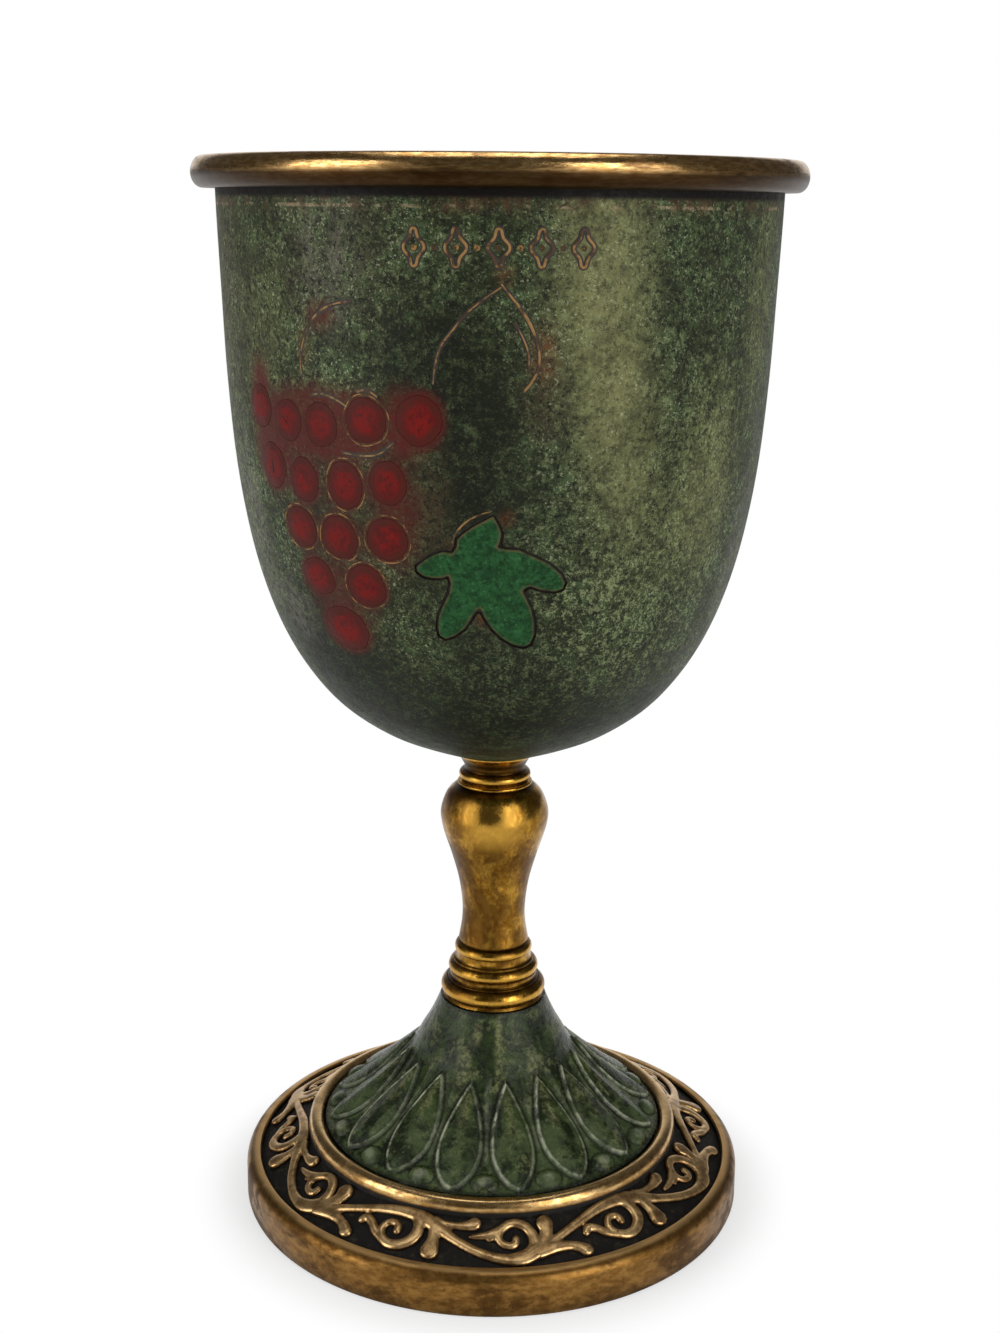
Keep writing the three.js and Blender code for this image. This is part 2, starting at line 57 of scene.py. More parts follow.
# Heights of the pieces in the stack, and the radii that they share
plinth_radius = box_mm("base_plinth")[1].x
ledge_level, collar_level, baluster_level, neck_level, bowl_level = (
    box_mm(node)[0].z for node in ("leaf_foot", "stem_collar", "stem_baluster", "stem_neck", "bowl"))
lip_level = box_mm("bowl")[1].z
rim_radius, rim_top = box_mm("rim_bead")[1].x, box_mm("rim_bead")[1].z
rod_bore, boss_bore = 2.4, 3.5

chance = random.Random(7)


# Turning

def flow(points, between=5):
    """A smooth line through the points, with some steps between each two."""
    line = []
    for i in range(len(points) - 1):
        a = Vector(points[max(i - 1, 0)])
        b, c = Vector(points[i]), Vector(points[i + 1])
        d = Vector(points[min(i + 2, len(points) - 1)])
        for step in range(between):
            t = step / between
            line.append(tuple(
                0.5 * (2 * b + (c - a) * t + (2 * a - 5 * b + 4 * c - d) * t * t
                       + (3 * b - a - 3 * c + d) * t * t * t)
            ))
    line.append(tuple(points[-1]))
    return line


def bead(radius, level, half, start, end, steps, tall=None):
    """Part of a round or oval moulding. The angles are in degrees from straight out."""
    turn = [radians(start + (end - start) * i / steps) for i in range(steps + 1)]
    return [(radius + half * cos(a), level + (tall or half) * sin(a)) for a in turn]


def raised(level, outline):
    """An outline whose heights are given from a level."""
    return [(radius, height + level) for radius, height in outline]


def around(radius, turn, level):
    """A point at a radius and a height, at a turn from the front."""
    return Vector((radius * sin(turn), -radius * cos(turn), level))


def open_up():
    """Enters edit mode with everything selected."""
    bpy.ops.object.mode_set(mode="EDIT")
    bpy.ops.mesh.select_all(action="SELECT")


def close_up(seam=0.002):
    """Merges the seam if there is one, turns the faces outwards and leaves edit mode."""
    bpy.ops.mesh.select_all(action="SELECT")
    if seam:
        bpy.ops.mesh.remove_doubles(threshold=seam * MM)
    bpy.ops.mesh.normals_make_consistent(inside=False)
    bpy.ops.object.mode_set(mode="OBJECT")


def turned(name, outline, steps=192):
    """Turns a closed outline of (radius, height) points. Each ring is extruded from the last and sized."""
    radius, level = outline[0]
    bpy.ops.mesh.primitive_circle_add(vertices=steps, radius=radius * MM, location=(0, 0, 0))
    piece = bpy.context.object
    piece.name = piece.data.name = name
    open_up()
    bpy.ops.transform.translate(value=(0, 0, level * MM))
    for next_radius, next_level in outline[1:] + outline[:1]:
        bpy.ops.mesh.extrude_edges_move(
            TRANSFORM_OT_translate={"value": (0, 0, (next_level - level) * MM)})
        share = next_radius / radius
        bpy.ops.transform.resize(value=(share, share, 1), center_override=(0, 0, next_level * MM))
        radius, level = next_radius, next_level
    close_up()
    return piece


def drawn(knots, half_width, steps, roundness, closed=False):
    """A round line through knots of (x, y, swelling), laid flat and made a mesh."""
    bpy.ops.curve.primitive_bezier_curve_add(location=(0, 0, 0))
    line = bpy.context.object
    line.data.splines.clear()
    spline = line.data.splines.new("BEZIER")
    spline.bezier_points.add(len(knots) - 1)
    for knot, (x, y, swelling) in zip(spline.bezier_points, knots):
        knot.co = (x * MM, y * MM, 0)
        knot.radius = swelling
        knot.handle_left_type = knot.handle_right_type = "AUTO"
    spline.use_cyclic_u = closed
    line.data.dimensions = "3D"
    line.data.resolution_u = steps
    line.data.bevel_depth = half_width * MM
    line.data.bevel_resolution = roundness
    line.data.use_fill_caps = True
    select_only(line)
    bpy.ops.object.convert(target="MESH")
    return bpy.context.object


def select_only(*objects):
    bpy.ops.object.select_all(action="DESELECT")
    for each in objects:
        each.select_set(True)
    bpy.context.view_layer.objects.active = objects[0]


def apply_modifier(piece, kind, **settings):
    select_only(piece)
    bpy.ops.object.modifier_add(type=kind)
    modifier = piece.modifiers[-1]
    for key, value in settings.items():
        setattr(modifier, key, value)
    bpy.ops.object.modifier_apply(modifier=modifier.name)


def joined(name, pieces):
    select_only(*pieces)
    if len(pieces) > 1:
        bpy.ops.object.join()
    piece = bpy.context.object
    piece.name = piece.data.name = name
    return piece


def tint_points(piece, name, value_at):
    """Paints a soft mask on the points of a piece, from 0 to 1 in each of three channels."""
    layer = piece.data.color_attributes.new(name=name, type="FLOAT_COLOR", domain="POINT")
    for vertex, point in zip(piece.data.vertices, layer.data):
        point.color = (*value_at(vertex.co / MM), 1)


def hold(piece, finishes, nodes, crease=35):
    """Gives a piece its finish and its place on the goblet."""
    if finishes:
        piece.data.materials.clear()
        for finish in finishes:
            piece.data.materials.append(finish)
    select_only(piece)
    bpy.ops.object.shade_smooth_by_angle(angle=radians(crease))
    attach(piece, "root")
    if nodes:
        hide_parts(*nodes)
    bpy.ops.object.select_all(action="DESELECT")


def turned_piece(name, outline, steps, finish, node, soot):
    """A turned piece in one finish, with its painted shade and crest highlight, in the place of its solid."""
    piece = turned(name, outline, steps)
    tint_points(piece, "soot", soot)
    hold(piece, [finish], [node])


def smooth_step(low, high, value):
    share = min(max((value - low) / (high - low), 0.0), 1.0)
    return share * share * (3 - 2 * share)


# Finishes

def paint(*eye):
    """A colour as the eye sees it, from 0 to 255, as the light values that a shader works in."""
    return tuple(((v / 255 + 0.055) / 1.055) ** 2.4 if v > 10 else v / 255 / 12.92 for v in eye)


class Bench:
    """Nodes of a material or of the world, added one at a time with their inputs in order."""

    def __init__(self, owner):
        owner.use_nodes = True
        self.nodes, self.links = owner.node_tree.nodes, owner.node_tree.links

    def put(self, socket, value):
        if hasattr(value, "links"):
            self.links.new(value, socket)
        elif isinstance(value, tuple) and len(value) < len(socket.default_value):
            socket.default_value = (*value, 1)
        elif value is not None:
            socket.default_value = value

    def plug(self, node, sockets):
        for name, value in sockets.items():
            self.put(node.inputs[name], value)
        return node

    def add(self, kind, *inputs, **settings):
        node = self.nodes.new("ShaderNode" + kind)
        for key, value in settings.items():
            setattr(node, key, value)
        for socket, value in zip(node.inputs, inputs):
            self.put(socket, value)
        return node

    def band(self, value, low, high, out_low=0.0, out_high=1.0):
        """A soft step of a value, from one number to another."""
        return self.add("MapRange", value, low, high, out_low, out_high,
                        interpolation_type="SMOOTHSTEP").outputs[0]

    def work(self, operation, first, second, clamped=False):
        return self.add("Math", first, second, operation=operation, use_clamp=clamped).outputs[0]


class Finish(Bench):
    """A material: a mix of two colours, coats over it, and its sheen and relief at the end."""

    def __init__(self, name):
        self.material = bpy.data.materials.new(name)
        super().__init__(self.material)
        self.place = self.add("TexCoord").outputs["Object"]

    def grain(self, size_mm, detail=4, rough=0.55, stretch=None, warp=0.0):
        place = self.place
        if stretch:
            place = self.add("Mapping", place, None, None, stretch).outputs[0]
        return self.plug(self.add("TexNoise", place), {
            "Scale": 1000 / size_mm, "Detail": detail, "Roughness": rough, "Distortion": warp}).outputs["Fac"]

    def plus(self, first, second):
        return self.work("ADD", first, second)

    def less(self, first, second):
        return self.work("SUBTRACT", first, second, clamped=True)

    def times(self, first, second):
        return self.work("MULTIPLY", first, second, clamped=True)

    def mask(self, name):
        """The three channels of a mask that was painted on the points of the piece."""
        return self.add("SeparateColor", self.add("Attribute", attribute_name=name).outputs["Color"]).outputs

    def mix(self, share, first, second):
        node = self.add("Mix", share, data_type="RGBA")
        self.put(node.inputs[6], first)
        self.put(node.inputs[7], second)
        self.colour = node.outputs[2]

    def coat(self, colour, *shares):
        """A coat over what is there, as strong as its shares multiplied together."""
        share = shares[0]
        for other in shares[1:]:
            share = self.times(share, other)
        self.mix(share, self.colour, colour)

    def relief(self, height, depth_mm, strength=1.0, under=None):
        bump = self.add("Bump", strength, depth_mm * MM)
        return self.plug(bump, {"Height": height, "Normal": under}).outputs[0]

    def done(self, rough, metal, normal=None, gloss=0.5):
        self.plug(self.nodes["Principled BSDF"], {
            "Base Color": self.colour, "Roughness": rough, "Metallic": metal, "Normal": normal,
            "Specular IOR Level": gloss})
        return self.material


def antique_gilt(name, gold, pale, umber, run, patch_mm, brown, shine, dent, wear_and_highlight=0.6, bare_and_sheen=None):
    """Gilt brass: soft umber patches, streaks along the turning, fine dark pits, painted shade in the
    recesses and low places, and a painted highlight, partly rubbed brass, on the crests."""
    f = Finish(name)
    patches = f.grain(patch_mm, detail=9, rough=0.66, stretch=run, warp=0.3)
    broad = f.grain(9, detail=3, rough=0.5)
    streaks = f.grain(1.7, detail=6, rough=0.62, stretch=run)
    pits = f.band(f.grain(0.55, detail=4, rough=0.6), 0.60, 0.72)
    soot, crest_highlight, _ = f.mask("soot")
    f.mix(f.band(streaks, 0.36, 0.66), gold, pale)
    tarnish = f.band(f.plus(patches, f.times(broad, 0.4)), brown + 0.10, brown + 0.34)
    f.coat(umber, tarnish, 0.8)
    f.coat(tuple(c * 0.35 for c in umber), pits, 0.55)
    # painted highlight on the crests, partly rubbed brass
    f.coat(bare_and_sheen or pale, crest_highlight, wear_and_highlight)
    # painted shade in the recesses and low places
    f.coat(tuple(c * 0.22 for c in umber), soot, 0.96)
    rough = f.band(f.plus(tarnish, soot), 0.0, 1.0, shine, shine + 0.2)
    soft = f.relief(patches, dent, 0.5)
    return f.done(rough, 1.0, f.relief(f.less(streaks, f.times(pits, 0.35)), 0.3 * dent, 0.5, under=soft))


gilt = antique_gilt("antique_gilt", paint(146, 103, 32), paint(210, 162, 68), paint(76, 44, 16),
                    run=(1, 1, 0.7), patch_mm=3.4, brown=0.47, shine=0.19, dent=0.11)
# the plinth's crest colour is a painted highlight along the lip
plinth_gilt = antique_gilt("plinth_gilt", paint(114, 80, 36), paint(146, 108, 56), paint(66, 44, 20),
                           run=(1, 1, 2), patch_mm=6.0, brown=0.52, shine=0.37, dent=0.05, wear_and_highlight=0.85,
                           bare_and_sheen=paint(222, 180, 118))
ring_gilt = antique_gilt("ring_gilt", paint(166, 128, 74), paint(214, 178, 122), paint(98, 66, 34),
                         run=(1, 1, 2), patch_mm=4.0, brown=0.56, shine=0.24, dent=0.05)
rim_gilt = antique_gilt("rim_gilt", paint(174, 132, 76), paint(226, 186, 126), paint(84, 54, 28),
                        run=(1, 1, 5), patch_mm=6.5, brown=0.56, shine=0.18, dent=0.08)


def cast_gilt():
    """Matte gilt of the cast vine: mottled brown, with a painted highlight along its crests and painted shade
    towards its foot.
    """
    f = Finish("matte_cast_gilt")
    cloud = f.grain(2.0, detail=6, rough=0.7)
    fine = f.grain(0.6, detail=3, rough=0.7)
    low, crest_highlight, _ = f.mask("soot")
    f.mix(f.band(cloud, 0.40, 0.60), paint(128, 94, 56), paint(174, 138, 92))
    f.coat(paint(92, 64, 36), f.band(fine, 0.52, 0.66), 0.6)
    # painted highlight along the upper shoulders
    f.coat(paint(214, 178, 124), crest_highlight, f.band(cloud, 0.36, 0.58, 0.25, 1.0))
    # painted shade towards the foot of the strokes
    f.coat(paint(26, 18, 11), low)
    return f.done(f.band(low, 0.0, 1.0, 0.33, 0.7), 0.9, f.relief(fine, 0.05, 0.7))


def dark_ground():
    """Blackened ground of the scroll channel."""
    f = Finish("blackened_ground")
    cloud = f.grain(1.4, detail=6, rough=0.65)
    f.mix(f.band(cloud, 0.50, 0.74), paint(17, 14, 10), paint(50, 44, 34))
    return f.done(f.band(cloud, 0.3, 0.7, 0.5, 0.75), 0.0, f.relief(cloud, 0.12, 0.7), gloss=0.2)


def bowl_patina():
    """Mottled olive patina. The brushed tones say where it is sage, near black, or brown and worn; the sage
    band holds a painted highlight, the near black is partly painted shade at the front and low down, and the
    sheen is a painted reflection.
    """
    f = Finish("bowl_patina")
    cloud = f.grain(6.0, detail=6, rough=0.72, warp=0.5)
    bloom = f.grain(1.6, detail=4, rough=0.82)
    lichen = f.grain(1.1, detail=3, rough=0.95)
    crumbs = f.grain(0.42, detail=2, rough=0.8)
    pits = f.grain(0.75, detail=3, rough=0.85)
    strokes = f.grain(2.6, detail=5, rough=0.8, stretch=(1, 1, 0.4))
    sage, dark_and_shade, warm = f.mask("tone")
    wine, rust, flecked = f.mask("washes")
    mottle = f.plus(f.times(bloom, 0.55), f.times(cloud, 0.45))
    f.mix(f.band(mottle, 0.42, 0.58), paint(28, 34, 18), paint(60, 70, 42))
    f.coat(paint(46, 76, 50), f.band(cloud, 0.46, 0.62), f.band(bloom, 0.42, 0.60), 0.5)
    # sage patina, and a painted highlight where the sage band lies
    f.coat(paint(110, 110, 70), sage, f.band(mottle, 0.40, 0.58, 0.40, 1.0))
    # near black patina, partly painted shade
    f.coat(paint(19, 22, 11), dark_and_shade, f.band(mottle, 0.46, 0.62, 1.0, 0.6))
    f.coat(paint(70, 58, 38), warm, f.band(strokes, 0.42, 0.58, 0.25, 1.0))
    # painted reflection, pale grey, in the sheen patches
    f.coat(paint(98, 95, 86), f.mask("sheen")[0], f.band(strokes, 0.42, 0.58, 0.2, 1.0))
    # lichen, pits and bright crumbs, which fade in the near black places
    spread = f.plus(f.band(mottle, 0.44, 0.60, 0.08, 0.5), f.times(flecked, 0.6))
    f.coat(paint(118, 128, 88), spread, f.band(dark_and_shade, 0.1, 1.0, 1.0, 0.35), f.band(lichen, 0.50, 0.60))
    f.coat(paint(13, 16, 8), f.band(pits, 0.51, 0.60), f.band(sage, 0.2, 0.9, 0.85, 0.50))
    f.coat(paint(146, 150, 118), f.band(crumbs, 0.57, 0.67), f.band(cloud, 0.42, 0.62, 0.25, 0.9),
           f.band(dark_and_shade, 0.0, 0.9, 1.0, 0.2))
    f.coat(paint(77, 25, 20), wine, f.band(bloom, 0.40, 0.60, 1.0, 0.75))
    f.coat(paint(92, 50, 27), rust, f.band(bloom, 0.40, 0.60, 0.2, 0.85))
    # under the rim: brown wear, a broken pale line and a shadow
    height = f.add("SeparateXYZ", f.place).outputs["Z"]
    f.coat(paint(72, 50, 34), f.band(height, 0.1520, 0.1540), f.band(strokes, 0.46, 0.60), 0.7)
    f.coat(paint(150, 130, 104), f.band(height, 0.1533, 0.1535), f.band(height, 0.1539, 0.1537),
           f.band(cloud, 0.50, 0.60, 0.0, 0.7), f.band(bloom, 0.40, 0.56, 0.1, 1.0))
    f.coat(paint(15, 10, 7), f.band(height, 0.1542, 0.1550))
    fine = f.relief(f.less(lichen, f.band(pits, 0.52, 0.62, 0.0, 0.5)), 0.07, 0.8)
    rough = f.band(bloom, 0.35, 0.70, 0.44, 0.62)
    return f.done(rough, 0.0, f.relief(cloud, 0.22, 0.5, under=fine), gloss=0.12)


def foot_patina():
    """Glossy dark green lacquer with sage clouds, a painted highlight on the crests, painted shade in the
    hollows and a pale painted reflection low on the flare.
    """
    f = Finish("foot_patina")
    cloud = f.grain(4.2, detail=6, rough=0.68, warp=0.5)
    fine = f.grain(0.9, detail=4, rough=0.75)
    patches = f.grain(2.6, detail=6, rough=0.72)
    hollow_shade, crest_highlight, bare_and_sheen = f.mask("relief")
    height = f.add("SeparateXYZ", f.place).outputs["Z"]
    f.mix(f.band(cloud, 0.42, 0.60), paint(22, 31, 12), paint(46, 60, 25))
    f.coat(paint(98, 104, 66), f.band(patches, 0.50, 0.62), f.band(fine, 0.42, 0.58, 0.1, 0.8))
    # painted pale reflection low on the flare
    f.coat(paint(78, 90, 60), f.band(height, 0.022, 0.016), f.band(cloud, 0.42, 0.58, 0.0, 0.46))
    # rubbed bare places, and painted reflections on the flare's front
    f.coat(paint(112, 114, 74), bare_and_sheen, f.band(fine, 0.42, 0.60, 0.1, 0.9))
    # painted shade in the hollows and along the lower edge
    f.coat(paint(8, 10, 5), hollow_shade, 0.95)
    # painted highlight on the crests
    f.coat(paint(174, 178, 152), crest_highlight, f.band(patches, 0.40, 0.58, 0.1, 0.95))
    soft = f.relief(patches, 0.45, 0.75)
    rough = f.band(fine, 0.38, 0.62, 0.15, 0.32)
    return f.done(rough, 0.0, f.relief(fine, 0.09, 0.7, under=soft), gloss=0.23)


def red_enamel_finish():
    """Opaque red enamel, rubbed and mottled, that thins to maroon towards its edge."""
    f = Finish("red_enamel")
    cloud = f.grain(1.6, detail=4, rough=0.75)
    f.mix(f.band(cloud, 0.38, 0.62), paint(76, 18, 15), paint(112, 17, 13))
    f.coat(paint(56, 18, 13), f.band(f.grain(0.5, detail=2), 0.56, 0.68), 0.5)
    thin = f.plus(f.mask("edge")[0], f.band(cloud, 0.38, 0.62, 0.0, 0.8))
    f.coat(paint(70, 25, 19), f.band(thin, 0.60, 1.30))
    return f.done(f.band(cloud, 0.3, 0.7, 0.40, 0.58), 0.0, f.relief(cloud, 0.08, 0.6), gloss=0.1)


def green_enamel_finish():
    """Opaque green enamel with fine dark dots, bordered by a thin olive line."""
    f = Finish("green_enamel")
    cloud = f.grain(1.6, detail=5, rough=0.75)
    fine = f.grain(0.5, detail=2, rough=0.7)
    f.mix(f.band(cloud, 0.38, 0.62), paint(23, 54, 28), paint(36, 78, 42))
    f.coat(paint(16, 34, 18), f.band(fine, 0.54, 0.66), 0.7)
    f.coat(paint(70, 116, 76), f.band(fine, 0.42, 0.32), 0.35)
    f.coat(paint(80, 74, 46), f.mask("edge")[0], f.band(cloud, 0.36, 0.56, 0.3, 1.0))
    return f.done(f.band(cloud, 0.3, 0.7, 0.48, 0.62), 0.0, f.relief(fine, 0.03, 0.5), gloss=0.08)


def scribed_gilt():
    """Gilt of the engraved lines, rubbed away in places."""
    f = Finish("scribed_gilt")
    f.mix(f.band(f.grain(1.5, detail=5, rough=0.6), 0.44, 0.58), paint(62, 44, 26), paint(138, 104, 58))
    return f.done(0.5, 0.3, gloss=0.3)


def cell_wall(name, dark, pale):
    """The walls and floor of the cells that hold the enamels."""
    f = Finish(name)
    cloud = f.grain(1.2, detail=4)
    f.mix(f.band(cloud, 0.4, 0.65), dark, pale)
    return f.done(0.6, 0.2, f.relief(cloud, 0.05, 0.5))


def plain_steel():
    """Drawn steel of the hidden fastening."""
    f = Finish("plain_steel")
    lines = f.grain(0.8, detail=3, stretch=(1, 1, 6))
    f.mix(lines, (0.36, 0.36, 0.37), (0.52, 0.52, 0.53))
    return f.done(f.band(lines, 0.3, 0.7, 0.30, 0.48), 1.0, f.relief(lines, 0.02, 0.4))


vine_gilt, ground, patina, foot_green = cast_gilt(), dark_ground(), bowl_patina(), foot_patina()
red_enamel, green_enamel, line_gilt = red_enamel_finish(), green_enamel_finish(), scribed_gilt()
steel = plain_steel()
line_shade = cell_wall("line_shade", paint(22, 19, 12), paint(44, 33, 20))
leaf_cell = cell_wall("leaf_cell", paint(22, 18, 13), paint(48, 36, 24))
grape_cell = cell_wall("grape_cell", paint(58, 24, 19), paint(78, 32, 25))


def recess_shade_and_highlight(outline, reach):
    """For a turned piece: painted shade where a point lies below the mouldings beside it, and a painted
    highlight, partly rubbed brass, on their crests.
    """
    def value_at(place):
        radius = hypot(place.x, place.y)
        near = [r for r, z in outline if abs(z - place.z) < reach]
        depth = max(near, default=radius) - radius
        return (smooth_step(0.12, 0.9, depth), smooth_step(0.10, 0.0, depth), 0)
    return value_at


# Base plinth: a turned ring with a rounded lip, a sloping channel and an inner ledge
lip_width, channel_width, rise, channel_depth = 2.3, 7.65, 3.8, 0.9
stand_inner, ledge_inner, edge_round = 37.2, 24.0, 1.9
channel_outer = plinth_radius - lip_width
channel_inner = channel_outer - channel_width
channel_floor = ledge_level - channel_depth
channel_slope = atan2(rise, channel_width)
top_level = ledge_level - rise
plinth_outline = (
    [(stand_inner, 0.0), (plinth_radius - 0.5, 0.0), (plinth_radius - 0.15, 0.15), (plinth_radius, 0.5),
     (plinth_radius, 2.6)]
    + bead(plinth_radius - edge_round, top_level - edge_round, edge_round, 0, 96, 14)
    + raised(top_level, [(channel_outer + 0.08, -0.18), (channel_outer, -0.45),
                         (channel_outer, -channel_depth), (channel_outer - 0.4, 0.2 - channel_depth),
                         (33.3, rise / 2 - channel_depth)])
    + raised(ledge_level, [(channel_inner, -channel_depth), (channel_inner, -0.05), (channel_inner - 0.05, 0),
                           (ledge_inner, 0), (ledge_inner, -2.2), (28.5, -2.3), (29.5, -3.0)])
    + [(stand_inner, 3.2)]
)
plinth = turned("base_ring", plinth_outline, 240)


def plinth_shade_and_highlight(place):
    """Painted shade at the foot of the wall, and a painted highlight along the top of the lip."""
    across = hypot(place.x, place.y)
    inner = abs(across - channel_outer - 0.5)
    crest_highlight = smooth_step(top_level - 0.8, top_level - 0.25, place.z) * smooth_step(1.1, 0.3, inner)
    return (smooth_step(1.1, 0.0, place.z) * 0.75, crest_highlight if place.z < top_level + 0.1 else 0, 0)


tint_points(plinth, "soot", plinth_shade_and_highlight)
plinth.data.materials.append(plinth_gilt)
plinth.data.materials.append(ground)
for face in plinth.data.polygons:
    middle = face.center / MM
    across = hypot(middle.x, middle.y)
    in_channel = channel_inner - 0.04 < across < channel_outer + 0.01
    above_hollow = 4.5 < middle.z < ledge_level - 0.02
    if in_channel and above_hollow and face.normal.z > -0.3:
        face.material_index = 1
hold(plinth, None, ["base_plinth"], crease=50)


# Bead ring round the foot
ring_width, ring_height = 2.6, 1.8
ring_outer = channel_inner - 0.05
ring_outline = [(ring_outer - ring_width, ledge_level), (ring_outer, ledge_level)]
for i in range(1, 18):
    turn = pi * i / 18
    ring_outline.append((ring_outer - ring_width / 2 + ring_width / 2 * cos(turn),
                         ledge_level + ring_height * sin(turn) ** 0.85))
# painted shade where the ring meets the ledge, and a painted highlight along its top
turned_piece("foot_ring", ring_outline, 240, ring_gilt, "foot_bead_ring", lambda p: (
    smooth_step(0.5, 0.0, p.z - ledge_level), smooth_step(1.35, 1.75, p.z - ledge_level), 0))


# Scroll vine: strokes on one repeat laid flat, in millimetres along the channel and down its slope,
# each point with its width. They are fused, softened as a casting is, and bent round the channel.
repeat_length, slope_length, vine_turn = 34.9, 8.5, -51.0
repeat_count, fullness, lift, crest_height = 6, 1.30, 0.45, 0.88
vine_strokes = [
    [(0.6, 6.2, 2.0), (1.9, 5.6, 1.8), (4.0, 4.75, 1.15), (6.6, 3.5, 1.1), (9.9, 2.2, 1.2), (13.1, 1.35, 1.4),
     (16.4, 1.15, 1.6), (19.3, 1.65, 1.9), (21.6, 2.7, 1.6), (24.5, 4.25, 1.2), (27.0, 5.5, 1.2),
     (29.5, 6.5, 1.2), (32.0, 7.1, 1.4), (34.2, 7.0, 1.9), (36.3, 5.9, 2.0)],
    [(17.0, 1.3, 1.3), (18.1, 2.0, 1.5), (18.6, 3.4, 1.5), (18.4, 4.8, 1.5), (17.4, 6.0, 1.4),
     (15.8, 6.7, 1.35), (14.2, 6.3, 1.2), (13.25, 5.1, 1.05), (13.3, 3.9, 0.95), (14.3, 3.2, 0.95),
     (15.4, 3.6, 1.0), (15.5, 4.4, 1.05)],
    [(14.0, 6.4, 0.9), (12.4, 5.4, 1.1), (11.0, 4.2, 1.15), (9.9, 3.9, 1.15), (9.3, 4.5, 1.0)],
    [(20.0, 1.5, 1.5), (20.9, 3.0, 1.3), (21.3, 4.6, 1.5), (21.2, 6.6, 2.2)],
    [(20.6, 1.5, 1.3), (22.6, 1.8, 0.9), (24.6, 1.9, 1.0), (26.2, 1.75, 1.4), (27.2, 1.45, 1.75)],
    [(34.8, 6.8, 1.4), (35.9, 5.4, 1.4), (36.1, 4.0, 1.4), (35.7, 2.7, 1.35), (34.7, 1.7, 1.3),
     (33.3, 1.3, 1.2), (31.9, 1.8, 1.2), (31.0, 2.9, 1.15), (31.1, 4.1, 1.0), (32.1, 4.85, 1.0),
     (33.3, 4.7, 1.0), (33.5, 3.85, 1.0)],
    [(31.6, 2.1, 1.2), (30.1, 2.9, 1.2), (28.3, 3.35, 0.95), (26.7, 3.5, 0.6)],
    [(30.7, 3.1, 1.0), (29.5, 3.95, 0.6)],
    [(36.0, 6.2, 1.9), (37.4, 4.6, 1.4), (38.2, 3.2, 1.7), (38.3, 1.9, 2.3)],
    [(36.4, 6.1, 2.1), (39.4, 5.8, 1.5), (41.4, 6.05, 1.25), (42.7, 6.7, 1.4), (43.2, 7.2, 1.6)],
]


def half_stroke(points):
    """The upper half of one stroke, with a round end and a softly flattened crest."""
    (x1, y1, _), (x2, y2, width) = points[-2:]
    reach = width * fullness / hypot(x2 - x1, y2 - y1)
    tip = [(x2 + (x2 - x1) * reach * share, y2 + (y2 - y1) * reach * share, width * narrowed)
           for share, narrowed in ((0.27, 0.82), (0.44, 0.42))]
    stroke = drawn([(x, y, wide * fullness) for x, y, wide in points + tip], 0.5, 6, 4)
    open_up()
    bpy.ops.mesh.remove_doubles(threshold=0.001 * MM)
    bpy.ops.mesh.bisect(plane_co=(0, 0, 0.03 * MM), plane_no=(0, 0, 1), clear_inner=True, use_fill=True,
                        threshold=0.0001 * MM)
    bpy.ops.object.mode_set(mode="OBJECT")
    for vertex in stroke.data.vertices:
        vertex.co.z = crest_height * tanh(vertex.co.z / MM * 1.35 / crest_height) * MM
    return stroke


def bend_round_channel(place, repeat):
    """From the flat drawing to the sloping channel."""
    along, down, above = place
    turn = radians(vine_turn + (along / repeat_length + repeat) * 360 / repeat_count)
    share = (down - lift) / slope_length
    radius = channel_inner + share * channel_width + above * sin(channel_slope)
    return around(radius, turn, channel_floor - share * rise + above * cos(channel_slope))


flat_vine = joined("scroll_vine", [half_stroke(points) for points in vine_strokes])
repeats = []
for repeat in range(repeat_count):
    copy = flat_vine.copy()
    copy.data = flat_vine.data.copy()
    bpy.context.collection.objects.link(copy)
    for vertex in copy.data.vertices:
        vertex.co = bend_round_channel(vertex.co / MM, repeat) * MM
    repeats.append(copy)
bpy.data.objects.remove(flat_vine)
vine = joined("scroll_vine", repeats)
apply_modifier(vine, "REMESH", mode="VOXEL", voxel_size=0.15 * MM)
apply_modifier(vine, "SMOOTH", factor=0.5, iterations=2)


def vine_shade_and_highlight(place):
    """Painted shade towards the ground, and a painted highlight along the upper shoulders of the strokes."""
    across = hypot(place.x, place.y)
    floor = channel_floor - (across - channel_inner) / channel_width * rise
    high = (place.z - floor) * cos(channel_slope)
    return smooth_step(0.46, 0.16, high), smooth_step(0.44, 0.66, high) * smooth_step(0.90, 0.74, high), 0


tint_points(vine, "soot", vine_shade_and_highlight)
hold(vine, [vine_gilt], ["scroll_band"], crease=60)


# Leaf foot: the flare and its relief of sixteen pointed leaves, with buds between their feet
edge_level = ledge_level + 1.3
flare_line = flow([(26.75, edge_level), (24.4, 13.2), (21.0, 15.5), (17.5, 18.5), (14.6, 21.5), (12.6, 24.0),
                   (11.5, 26.0), (10.3, 28.0), (9.3, 30.0), (8.3, collar_level)], between=17)
flare_length = sum(dist(a, b) for a, b in zip(flare_line, flare_line[1:]))
leaf_count, leaf_phase, leaf_top, leaf_length, leaf_spread = 16, 9.1, 10.4, 17.0, 9.5
bud_down, bud_width, bud_length, bud_height = 26.2, 2.0, 1.45, 0.75
leaf_habit = [(chance.uniform(-0.5, 0.5), chance.uniform(0.95, 1.05), chance.uniform(-0.4, 0.4))
              for _ in range(leaf_count)]
